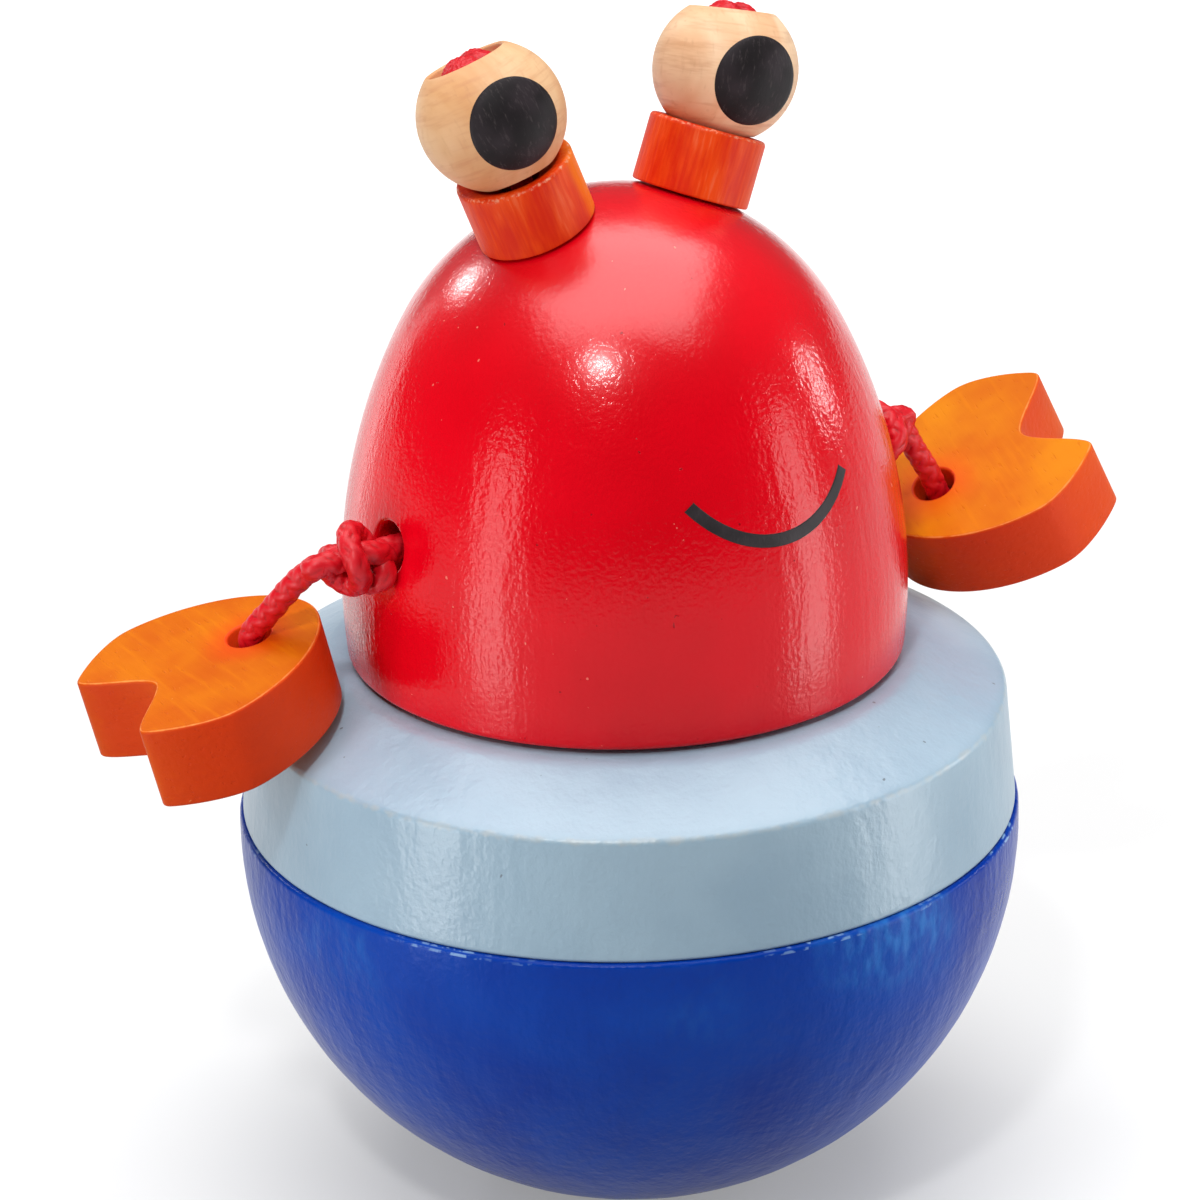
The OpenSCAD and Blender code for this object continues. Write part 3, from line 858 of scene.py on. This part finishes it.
class Skin:
    """Points and faces of a mesh that grows ring by ring."""

    def __init__(self):
        self.points = []
        self.faces = []

    def ring(self, places):
        self.points += np.asarray(places, float).tolist()
        return list(range(len(self.points) - len(places), len(self.points)))

    def join(self, first, second):
        for k in range(len(first)):
            self.faces.append((first[k - 1], first[k], second[k], second[k - 1]))
        return second

    def close(self, ring, middle):
        tip, = self.ring([middle])
        self.faces += [(ring[k - 1], ring[k], tip) for k in range(len(ring))]

    def mesh(self, name, finish, flats=()):
        """Closed mesh. A flat is a pair of rings that a flat face lies between."""
        def fill_flats(made):
            made.verts.ensure_lookup_table()
            for flat in flats:
                loops = [[made.verts[i] for i in ring] for ring in flat]
                pairs = [(loop[k - 1], loop[k]) for loop in loops for k in range(len(loop))]
                edges = [made.edges.get(pair) for pair in pairs]
                bmesh.ops.triangle_fill(made, use_beauty=True, edges=edges)
            bmesh.ops.recalc_face_normals(made, faces=made.faces)

        return finished_mesh(name, finish, fill_flats, self.points, self.faces)


def rounding(radius, turns):
    """Steps around a quarter circle: how far in and how far down each one is."""
    return [(radius * (1 - math.sin(turn)), radius * (1 - math.cos(turn))) for turn in turns]


print("a skin can", [name for name in vars(Skin) if not name.startswith("_")])

# %% Skin of the dome with its cord holes
dome_steps = 288
hole_r = 2.5 * mm
hole_ease = 0.5 * mm
hole_depths = np.array([0.5, 2, 5, 12]) * mm
hole_shares = (0.25, 0.5, 0.7, 0.85, 0.95, 1.0)
window_half = 7
foot_inner_r = 26 * mm
dome_bore_r = 7.1 * mm
bore_top = dome_z + 33.5 * mm
dome_turns = np.arange(dome_steps) * math.tau / dome_steps
skin = Skin()


def dome_ring(radius, z):
    x, y = radius * np.cos(dome_turns), radius * np.sin(dome_turns)
    return skin.ring(np.column_stack([x, y, np.full(dome_steps, z)]))


def hole_ring(x, flat):
    return skin.ring(np.column_stack([x, flat[:, 0], hole_z + flat[:, 1]]))


grid = [dome_ring(radius, z) for radius, z in skin_outline]
hole_row = int(np.argmin(abs(skin_outline[:, 1] - hole_z)))
low, high = hole_row - window_half, hole_row + window_half
window_columns = {"right": 0, "left": dome_steps // 2}
cut = {
    (i, (middle + k) % dome_steps) for middle in window_columns.values()
    for i in range(low, high) for k in range(-window_half, window_half)}
for i, (row, above) in enumerate(zip(grid, grid[1:])):
    for k in range(dome_steps):
        if (i, k) not in cut:
            after = (k + 1) % dome_steps
            skin.faces.append((row[k], row[after], above[after], above[k]))

skin.close(grid[-1], [0, 0, dome_high.z])
for side, middle in window_columns.items():
    sign = sides[side]
    near, far = middle - window_half, middle + window_half
    around = [(low, k) for k in range(near, far)] + [(i, far) for i in range(low, high)]
    around += [(high, k) for k in range(far, near, -1)] + [(i, near) for i in range(high, low, -1)]
    ring = [grid[i][k % dome_steps] for i, k in around]
    away = np.array([skin.points[i] for i in ring])[:, 1:] - [0, hole_z]
    way = unit(away)
    for share in hole_shares:
        flat = away * (1 - share) + way * (hole_r + hole_ease) * share
        rim_x = sign * np.sqrt(dome_reach(hole_z + flat[:, 1]) ** 2 - flat[:, 0] ** 2)
        ring = skin.join(ring, hole_ring(rim_x, flat))
    inward = rounding(hole_ease, np.linspace(0, math.pi / 2, 8)[1:])
    inward += [(0, hole_ease + depth) for depth in hole_depths]
    for spare, depth in inward:
        ring = skin.join(ring, hole_ring(rim_x - sign * depth, way * (hole_r + spare)))
    skin.close(ring, [rim_x.mean() - sign * depth, 0, hole_z])

under = grid[0]
for radius, z in ((foot_inner_r, dome_z), (dome_bore_r, dome_z), (dome_bore_r, bore_top)):
    under = skin.join(under, dome_ring(radius, z))
skin.close(under, [0, 0, bore_top])
body_dome = show("body_dome", skin.mesh("body_dome", dome_finish))
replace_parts(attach(body_dome, "root"), "body_dome")
print("dome has", len(body_dome.data.polygons), "faces")

# %% [markdown]
# ## Printed black
# The smile and the pupils are pad-printed: thin matt ink that follows the wood under it and lets some of
# its grain through as grey flecks. Each print is a thin skin laid just over its surface.

# %% Black ink


def black_ink(bench, attribute, fleck_share, gloss):
    place = place_of(bench, attribute)
    fleck = bench.noise(bench.stretch(place, (1, 1, 0.2)), 3000, 3.0, 0.65)
    cloud = bench.noise(place, 260, 2.0)
    bare = bench.rise(fleck + 0.25 * cloud, 0.64, 0.86)
    base = bench.mix(bare * fleck_share, (28, 24, 26), (128, 116, 116))
    base = bench.mix(bench.rise(cloud, 0.3, 0.7) * 0.5, base, (60, 51, 56))
    return base, 0.4 + 0.25 * fleck, 0.02 * mm * fleck, gloss


mouth_finish = make_finish("mouth_ink", black_ink, None, 0.05, 0.25)
pupil_finish = make_finish("pupil_ink", black_ink, "turned", 0.2, 0.15)

# %% Print the smile
mouth_r = 11.4 * mm
mouth_half_w = 9 * mm
mouth_line = 1.3 * mm
mouth_z = dome_z + 19.8 * mm + mouth_r
mouth_ink_t = 0.06 * mm
weld = 0.001 * mm


def skin_sheet(name, grid, finish):
    """Open sheet of faces from a grid of places. Places that fall together become one."""
    def weld_places(made):
        bmesh.ops.remove_doubles(made, verts=made.verts, dist=weld)

    sheet = Skin()
    rows = [sheet.ring(row) for row in grid]
    for row, after in zip(rows, rows[1:]):
        sheet.faces += zip(row, row[1:], after[1:], after)
    return show(name, finished_mesh(name, finish, weld_places, sheet.points, sheet.faces))


mouth_turn = math.asin(mouth_half_w / mouth_r)
sweep = np.linspace(-mouth_turn, mouth_turn, 97)
across = np.array([-0.5, -0.47, -0.4, -0.2, 0, 0.2, 0.4, 0.47, 0.5])
lift = np.array([-1, 0.6, 1, 1, 1, 1, 1, 0.6, -1]) * mouth_ink_t
reach = mouth_r + np.outer(across * mouth_line, np.ones(len(sweep)))
x = reach * np.sin(sweep)
z = mouth_z - reach * np.cos(sweep)
skin_r = dome_reach(z) + lift[:, None]
smile = np.stack([x, -np.sqrt(skin_r ** 2 - x ** 2), z], -1)
mouth_print = skin_sheet("mouth_print", smile, mouth_finish)
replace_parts(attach(mouth_print, "root"), "mouth_print")
print("smile is", round(2 * mouth_half_w / mm, 1), "mm wide")

# %% [markdown]
# ## Eye stalks
# The stalks are slices of dowel in orange-red, with a dish on top where the bead sits and a hollow foot
# that follows the dome. Sanding shows as streaks along the grain, and the sharp edges are rubbed to bare
# pale wood. One side of each stalk is painted a brighter amber as painted sheen, and the pale streaks are
# partly bare wood and partly painted sheen.

# %% Stalk lacquer


def stalk_lacquer(bench, sheen_side_turn, shift):
    place = place_of(bench, "turned")
    where = bench.vector("ADD", place, (shift, shift, 0))
    streak = bench.noise(bench.stretch(where, (1, 1, 0.12)), 2300)
    cloud = bench.noise(bench.stretch(where, (1, 1, 0.4)), 300, 2.0)
    fine = bench.noise(where, 2600)
    way = (math.cos(sheen_side_turn), math.sin(sheen_side_turn), 0)
    facing = bench.vector("DOT_PRODUCT", place, way, out="Value")
    # Painted sheen: a brighter amber on the side that faces the given turn.
    painted_sheen_side = bench.rise(facing / (6 * mm) + 0.5 * cloud, 0.95, 1.3)
    rub = bench.rise(own_value(bench, "edge") + 0.9 * fine, 1.2, 1.5)
    # Pale streaks: partly bare sanded wood, partly painted sheen.
    bare = bench.rise(streak, 0.52, 0.68) * bench.rise(cloud, 0.48, 0.62)
    base = bench.mix(bench.rise(streak + 2 * cloud, 1.1, 1.9), (218, 40, 2), (238, 76, 8))
    base = bench.coats(
        base, (painted_sheen_side * 0.75, (244, 132, 8)), (bare * 0.25, (240, 140, 100)),
        (rub * 0.75, (248, 190, 156)))
    height = 0.06 * mm * streak + 0.02 * mm * fine - 0.05 * mm * rub
    return base, 0.36 + 0.2 * streak, height, 0.2


stalk_finishes = {
    "left": make_finish("stalk_lacquer_left", stalk_lacquer, math.radians(-25), 0.0),
    "right": make_finish("stalk_lacquer_right", stalk_lacquer, math.radians(70), 0.05)}

# %% Turn the stalks
stalk_r = 5.9 * mm
stalk_h = 6.2 * mm
stalk_rise = 0.3 * mm
stalk_bore_r = 2.2 * mm
dish_r = bead_r + 0.3 * mm
dish_z = stalk_rise + stalk_h + 5.8 * mm
stalk_top = stalk_rise + stalk_h
dish_start = -math.asin((dish_z - stalk_top) / dish_r)
dish = arc_points(0, dish_z, dish_r, -math.acos(stalk_bore_r / dish_r), dish_start, count=14)
seat_r = top_r + stalk_rise


def seat_z(radius):
    """Height of the hollow foot, which follows the dome's top."""
    return math.sqrt(seat_r ** 2 - radius ** 2) - top_r


foot = [(r, seat_z(r)) for r in np.linspace(stalk_r - 0.35 * mm, stalk_bore_r, 12)]
corners = [dish[-1], (stalk_r, stalk_top, 0.45 * mm), (stalk_r, seat_z(stalk_r), 0.2 * mm), foot[0]]
outline = foot[-1:] + dish + [tuple(p) for p in rounded(corners, step=0.4 * mm)[1:-1]] + foot[:-1]
for side in sides:
    piece = turn_piece(
        "eye_stalk_" + side, outline, stalk_finishes[side], joint_frame(side + "_stalk_spin"),
        steps=128, closed=True)
    mark_edge(piece, stalk_r, stalk_top, 1.1 * mm)
    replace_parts(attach(piece, "stalk_" + side), "eye_stalk_" + side)

# %% [markdown]
# ## Eye beads
# The beads are bare pale wood, turned and polished. Fine tool rings circle the bore, the grain runs along
# it, and the mouth of the bore is a crisp bright edge.

# %% Natural wood


def natural_wood(bench, attribute, shift, ring_scale, dark, light):
    place = place_of(bench, attribute)
    where = bench.vector("ADD", place, (shift, shift, shift))
    rings = bench.noise(bench.stretch(where, (0.12, 0.12, 1)), ring_scale, 3.0, 0.6)
    grain = bench.noise(bench.stretch(where, (1, 0.25, 0.3)), 330)
    fibre = bench.noise(bench.stretch(where, (1, 0.4, 0.15)), 2600, 2.0)
    base = bench.coats(
        bench.blotch(grain, dark, light), (bench.rise(rings, 0.45, 0.75) * 0.45, (204, 138, 96)),
        (bench.rise(fibre, 0.55, 0.8) * 0.25, (190, 126, 88)))
    return base, 0.40 + 0.18 * fibre, 0.02 * mm * rings + 0.012 * mm * fibre, 0.4


# Painted light: the right bead is listed paler than the left, for the brighter light that falls on it.
bead_woods = {
    "left": ("turned", 0.0, 1500, (218, 160, 108), (234, 190, 144)),
    "right": ("turned", 0.07, 1500, (236, 186, 142), (250, 216, 178))}
bead_finishes = {
    side: make_finish("natural_wood_" + side, natural_wood, *bead_woods[side]) for side in sides}

# %% Shape of a pupil
pupil_r = 4.45 * mm
pupil_fall = math.radians(8)
pupil_ink_t = 0.05 * mm
pupil_shares = np.array([0, 0.2, 0.4, 0.6, 0.8, 0.92, 0.985, 1.0])
pupil_lift = np.array([1, 1, 1, 1, 1, 1, 0.6, -1]) * pupil_ink_t


def pupil_skin(side, place):
    """Thin round print on a bead, on the side where its solid is."""
    low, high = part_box("pupil_" + side)
    look = place.inverted() @ ((low + high) / 2)
    level = np.array([look.x, look.y, 0]) / math.hypot(look.x, look.y)
    look = math.cos(pupil_fall) * level - [0, 0, math.sin(pupil_fall)]
    pupil_up = math.sin(pupil_fall) * level + [0, 0, math.cos(pupil_fall)]
    pupil_side = np.cross(pupil_up, look)
    spread = pupil_shares * math.asin(pupil_r / bead_r)
    turns = np.linspace(0, math.tau, 97)
    ways = (
        np.outer(np.sin(spread), np.cos(turns))[..., None] * pupil_side
        + np.outer(np.sin(spread), np.sin(turns))[..., None] * pupil_up
        + np.cos(spread)[:, None, None] * look)
    pupil = skin_sheet("pupil_" + side, ways * (bead_r + pupil_lift)[:, None, None], pupil_finish)
    keep_values(pupil.data, "turned", places_of(pupil.data))
    pupil.data.transform(place)
    return pupil


print("pupil is", round(2 * pupil_r / mm, 1), "mm across")

# %% Turn the beads and print their pupils
mouth_bore_r = 3.8 * mm
lower_bore_r = 3.1 * mm
step_z = -0.5 * mm
bead_ease = 0.3 * mm


def bore_edge(radius):
    """Middle of the rounded edge of a bore, and the angle where that edge meets the ball."""
    middle_r = radius + bead_ease
    middle_z = math.sqrt((bead_r - bead_ease) ** 2 - middle_r ** 2)
    return middle_r, middle_z, math.atan2(middle_z, middle_r)


upper_r, upper_z, upper_angle = bore_edge(mouth_bore_r)
lower_r, lower_z, lower_angle = bore_edge(lower_bore_r)
outline = [(lower_bore_r, step_z), (mouth_bore_r, step_z), (mouth_bore_r, 2 * mm)]
outline += arc_points(upper_r, upper_z, bead_ease, math.pi, upper_angle, count=8)
outline += arc_points(0, 0, bead_r, upper_angle, -lower_angle, count=90)[1:]
outline += arc_points(lower_r, -lower_z, bead_ease, -lower_angle, -math.pi, count=8)[1:]
outline += [(lower_bore_r, -3 * mm)]
for side in sides:
    place = joint_frame(side + "_bead_spin")
    piece = turn_piece("eye_bead_" + side, outline, bead_finishes[side], place, steps=144, closed=True)
    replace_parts(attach(piece, "bead_" + side), "eye_bead_" + side)
    pupil = pupil_skin(side, place)
    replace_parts(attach(pupil, "bead_" + side), "pupil_" + side)
    print(pupil.name, "has", len(pupil.data.polygons), "faces")

# %% [markdown]
# ## Claws
# The claws are sawn from board and stained orange. The stain soaks deeper into end grain, so the long
# sides are redder than the faces. The bore walls share that colour, which also paints shade into the
# hole, and on the left claw the brighter back end of the sides is painted sheen. Their outline is two
# half-ovals with a notch whose sides swell into two lobes: smoothing it along its length rounds the tips
# and the bottom of the notch, as sanding does.

# %% Orange stain


def orange_stain(bench, shift, dark, light, back, nose):
    place = place_of(bench, "board")
    where = bench.vector("ADD", place, (shift, shift, shift))
    end_grain = own_value(bench, "end_grain")
    line = bench.noise(bench.stretch(where, (1, 0.1, 1)), 1100)
    pore = bench.rise(bench.noise(bench.stretch(where, (1, 0.25, 1)), 2400, 2.0), 0.62, 0.74)
    cloud = bench.noise(where, 120)
    hole = bench.vector("LENGTH", place, out="Value")
    soaked = 1 - bench.rise(hole + 2 * mm * cloud, 2.6 * mm, 7 * mm)
    face = bench.coats(
        bench.blotch(cloud, dark, light), (bench.rise(line, 0.5, 0.75) * 0.3, (230, 138, 0)),
        (pore * 0.2, (196, 66, 4)), (soaked * 0.6, (226, 62, 8)))
    # Along the sides the colour runs from the back to the nose; the left claw's brighter back is painted
    # sheen.
    edge = bench.mix(bench.rise(bench.part(place, "X") + 4 * mm * cloud, -3 * mm, 16 * mm), back, nose)
    wear_and_highlight = bench.rise(own_value(bench, "edge") + 0.7 * bench.noise(where, 900), 1.05, 1.4)
    fleck = bench.specks(where, 1500)
    base = bench.coats(
        face, (end_grain, edge), (wear_and_highlight * 0.5, (248, 170, 92)), (fleck * 0.25, (252, 196, 130)))
    peel = bench.noise(where, 1500, 2.0)
    height = 0.04 * mm * line - 0.03 * mm * pore + 0.07 * mm * peel * end_grain
    return base, 0.40 + 0.16 * line, height, 0.12


# The last two colours are the sides at the back and at the nose; the left claw's bright back is painted
# sheen.
claw_stains = {
    "left": (0.0, (198, 86, 0), (210, 110, 0), (246, 78, 30), (196, 48, 4)),
    "right": (0.09, (208, 104, 0), (222, 132, 0), (206, 44, 10), (222, 66, 22))}
claw_finishes = {
    side: make_finish("orange_stain_" + side, orange_stain, *claw_stains[side]) for side in sides}

# %% Outline of a claw
claw_t = 8.8 * mm
claw_half_w = 11.4 * mm
claw_back = 6.9 * mm
claw_belly = 8.1 * mm
claw_nose = 11.8 * mm
nose_taper = 1.32
back_taper = 1.08
notch_at = 10.6 * mm
notch_half = math.radians(102) / 2
outline_count = 360
sanding = 0.6 * mm
swell = 0.3 * mm
lobe_share = 0.55


def claw_outline():
    """Closed outline of a claw about its cord hole, sanded at its corners."""
    angles = np.linspace(0, math.pi, 400)
    front = angles < math.pi / 2
    long = np.where(front, claw_nose, claw_back + claw_belly) + swell
    taper = np.where(front, nose_taper, back_taper)
    along = np.sign(np.cos(angles)) * abs(np.cos(angles)) ** taper
    across = abs(np.sin(angles)) ** taper
    curve = np.column_stack([claw_belly + long * along, (claw_half_w + swell) * across])
    outside = curve[:, 1] > (curve[:, 0] - notch_at) * math.tan(notch_half)
    upper = curve[outside]
    share = np.linspace(0, 1, 40)[:-1]
    ease = lobe_share * share ** 2 * (3 - 2 * share) + (1 - lobe_share) * share
    notch = np.column_stack([notch_at + (upper[0, 0] - notch_at) * ease, upper[0, 1] * share])
    sharp = np.concatenate([notch, upper, upper[-2::-1] * [1, -1], notch[:0:-1] * [1, -1]])
    closed = np.concatenate([sharp, sharp[:1]])
    run = np.concatenate([[0], np.cumsum(np.linalg.norm(np.diff(closed, axis=0), axis=1))])
    even = np.arange(outline_count) * run[-1] / outline_count
    even = np.column_stack([np.interp(even, run, closed[:, axis]) for axis in (0, 1)])
    step = run[-1] / outline_count
    reach = int(3 * sanding / step) + 1
    offsets = np.arange(-reach, reach + 1)
    weights = np.exp(-0.5 * (offsets * step / sanding) ** 2)
    weights /= weights.sum()
    return sum(w * np.roll(even, int(k), axis=0) for w, k in zip(weights, offsets))


claw_line = claw_outline()
print("claw is", (np.ptp(claw_line, axis=0) / mm).round(1), "mm")

# %% Saw, drill and round the claws
claw_ease = 0.32 * mm
flat_margin = 0.3 * mm
claw_hole_r = 2.2 * mm
hole_margin = 0.2 * mm
hole_steps = 72
sink_r = 3.4 * mm
sink_h = 6 * mm
bore_grain_and_shade = 0.8
sharp_angle = math.radians(40)


def claw_frame(side):
    """Claw's own axes: x points along the claw, z out of its upper face, from the top of the hole."""
    place = joint_frame(side + "_claw_twist")
    origin = np.array(place.translation)
    z_axis = np.array(place.col[2][:3])
    middle = places_of(frame["nodes"]["claw_" + side].data).mean(axis=0) - origin
    x_axis = unit(middle - (middle @ z_axis) * z_axis)
    return frame_matrix(x_axis, np.cross(z_axis, x_axis), z_axis, origin)


def claw_mesh(name, finish):
    ahead = unit(np.roll(claw_line, -1, axis=0) - np.roll(claw_line, 1, axis=0))
    outward = np.column_stack([ahead[:, 1], -ahead[:, 0]])
    soak = 0.6 + 0.4 * abs(outward[:, 1]) ** 1.5
    skin = Skin()
    values = {"end_grain": [], "edge": []}

    def ring(places, z, soaked, wear_and_highlight=0.0):
        values["end_grain"].extend(soaked)
        values["edge"].extend([wear_and_highlight] * len(places))
        return skin.ring(np.column_stack([places, np.full(len(places), z)]))

    turns = np.linspace(0, math.pi / 2, 7)
    eased = rounding(claw_ease, turns)
    steps = [(claw_ease + flat_margin, 0.0, 0.0)]
    steps += [(inset, fall, math.sin(turn)) for (inset, fall), turn in zip(eased, turns)]
    levels = [(inset, -fall, share) for inset, fall, share in steps]
    levels += [(0.0, -claw_t * s, 1.0) for s in (0.25, 0.5, 0.75)]
    levels += [(inset, fall - claw_t, share) for inset, fall, share in reversed(steps)]
    rings = [
        ring(claw_line - inset * outward, z, soak * share, 4 * share * (1 - share))
        for inset, z, share in levels]
    hole_turns = np.arange(hole_steps) * math.tau / hole_steps
    circle = np.column_stack([np.cos(hole_turns), np.sin(hole_turns)])
    bore = [(claw_hole_r + claw_ease + hole_margin, 0.0)]
    bore += [(claw_hole_r + spare, -fall) for spare, fall in eased]
    bore += [(claw_hole_r, sink_h - claw_t), (sink_r, sink_h - claw_t), (sink_r, -claw_t)]
    # The bore walls take the end-grain colour: real stain in the end grain, and painted deeper shade
    # inside the hole.
    holes = [ring(circle * r, z, np.full(hole_steps, bore_grain_and_shade * (z < 0))) for r, z in bore]
    for wall in (rings, holes):
        for first, second in zip(wall, wall[1:]):
            skin.join(first, second)
    mesh = skin.mesh(name, finish, [(rings[0], holes[0]), (rings[-1], holes[-1])])
    values["board"] = places_of(mesh)
    for label, kept in values.items():
        keep_values(mesh, label, kept)
    mesh.set_sharp_from_angle(angle=sharp_angle)
    return mesh


for side in sides:
    mesh = claw_mesh("claw_" + side, claw_finishes[side])
    mesh.transform(claw_frame(side))
    piece = show("claw_" + side, mesh)
    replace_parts(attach(piece, "claw_" + side), "claw_" + side)
    print(piece.name, "has", len(mesh.polygons), "faces")

# %% [markdown]
# ## Inside the toy
# A steel slug, its plug and the centre dowel are closed in for good. They keep their packed solids, with
# a finish each, so that a cut through the model still shows real materials.

# %% Finish the hidden pieces


def turned_steel(bench):
    rings = bench.noise(bench.stretch(place_of(bench), (1, 1, 6)), 300)
    base = bench.mix(rings, (150, 152, 156), (190, 192, 196))
    return base, 0.35 + 0.2 * rings, 0.02 * mm * rings, 0.5, {"Metallic": 1.0}


inner_wood = make_finish(
    "natural_wood_inside", natural_wood, None, 0.02, 600, (222, 164, 116), (238, 196, 154))
hidden = {
    "ballast_weight": make_finish("steel", turned_steel), "ballast_plug": inner_wood,
    "centre_dowel": inner_wood}
for node, finish in hidden.items():
    mesh = frame["nodes"][node].data
    mesh.materials.clear()
    mesh.materials.append(finish)
print("hidden pieces", sorted(hidden))

# %% [markdown]
# ## Studio
# The toy stands on a plain white floor. Soft boxes stand where their reflections lie on the dome: a large
# one overhead, small spots at the front left, right and back, and strips that stand on the floor. The
# floor adds light of its own to what the camera sees, more of it farther out where the lamps don't reach,
# so it reads white and still keeps the toy's shadow. Close under the toy it adds less, which paints a
# darker shadow there.

# %% Floor, world and lamps
floor_half = 40.0
floor_colour = (0.4, 0.4, 0.4, 1)
# Painted shadow: glow_under and glow_near keep the floor darker close under the toy.
glow_under = 0.26
glow_near = 0.3
glow_far = 0.4
world_colour = (0.09, 0.09, 0.09, 1)
lamp_aim = Vector((0, 0, 70 * mm))


def white_floor():
    material, bench = new_finish("floor")
    path = bench.node("ShaderNodeLightPath", out="Is Camera Ray")
    gloss = Wire(bench, path.socket.node.outputs["Is Glossy Ray"])
    clear = Wire(bench, path.socket.node.outputs["Is Transmission Ray"])
    seen = bench.maths("MAXIMUM", bench.maths("MAXIMUM", path, gloss), clear)
    plain = bench.node("ShaderNodeBsdfDiffuse", {"Color": floor_colour})
    away = bench.vector("LENGTH", place_of(bench), out="Value")
    lift = glow_under + glow_near * bench.rise(away, 0.01, 0.06) + glow_far * bench.rise(away, 0.06, 0.5)
    glow = bench.node("ShaderNodeEmission", {"Color": (1, 1, 1, 1), "Strength": lift * seen})
    both = bench.node("ShaderNodeAddShader", {0: plain, 1: glow})
    bench.node("ShaderNodeOutputMaterial", {"Surface": both})
    return material


floor_mesh = bpy.data.meshes.new("floor")
floor_corners = [(x * floor_half, y * floor_half, 0) for x, y in ((-1, -1), (1, -1), (1, 1), (-1, 1))]
floor_mesh.from_pydata(floor_corners, [], [(0, 1, 2, 3)])
floor_mesh.materials.append(white_floor())
floor = show("floor", floor_mesh)
world = bpy.data.worlds.new("studio")
world.use_nodes = True
world.node_tree.nodes["Background"].inputs["Color"].default_value = world_colour
bpy.context.scene.world = world
bpy.context.scene.view_settings.view_transform = "Standard"
# Turn in degrees, then in metres how far out and up, and how wide and tall, and last the glow.
lamps = {
    "overhead_box": (148, 0.03, 0.62, 0.66, 0.66, 3.05),
    "front_spot": (-47, 0.50, 0.62, 0.06, 0.06, 170.0),
    "right_spot": (73, 0.55, 0.185, 0.05, 0.08, 32.0),
    "back_spot": (-167, 0.55, 0.36, 0.07, 0.07, 24.0),
    "right_strip": (40, 0.15, 0.066, 0.038, 0.13, 5.2),
    "left_strip": (-84, 0.15, 0.066, 0.034, 0.13, 5.6),
    "back_strip": (-166, 0.16, 0.066, 0.02, 0.13, 1.2)}
for name, (turn, out, height, wide, tall, glow) in lamps.items():
    turn = math.radians(turn)
    lamp = bpy.data.lights.new(name, "AREA")
    lamp.shape = "RECTANGLE"
    lamp.size = wide
    lamp.size_y = tall
    lamp.energy = glow * math.pi * wide * tall
    lamp_object = bpy.data.objects.new(name, lamp)
    lamp_object.location = (out * math.sin(turn), -out * math.cos(turn), height)
    lamp_object.rotation_mode = "QUATERNION"
    lamp_object.rotation_quaternion = (lamp_aim - lamp_object.location).to_track_quat("-Z", "Y")
    lamp_object.visible_camera = False
    bpy.context.scene.collection.objects.link(lamp_object)
    print(name, round(lamp.energy, 2), "W")
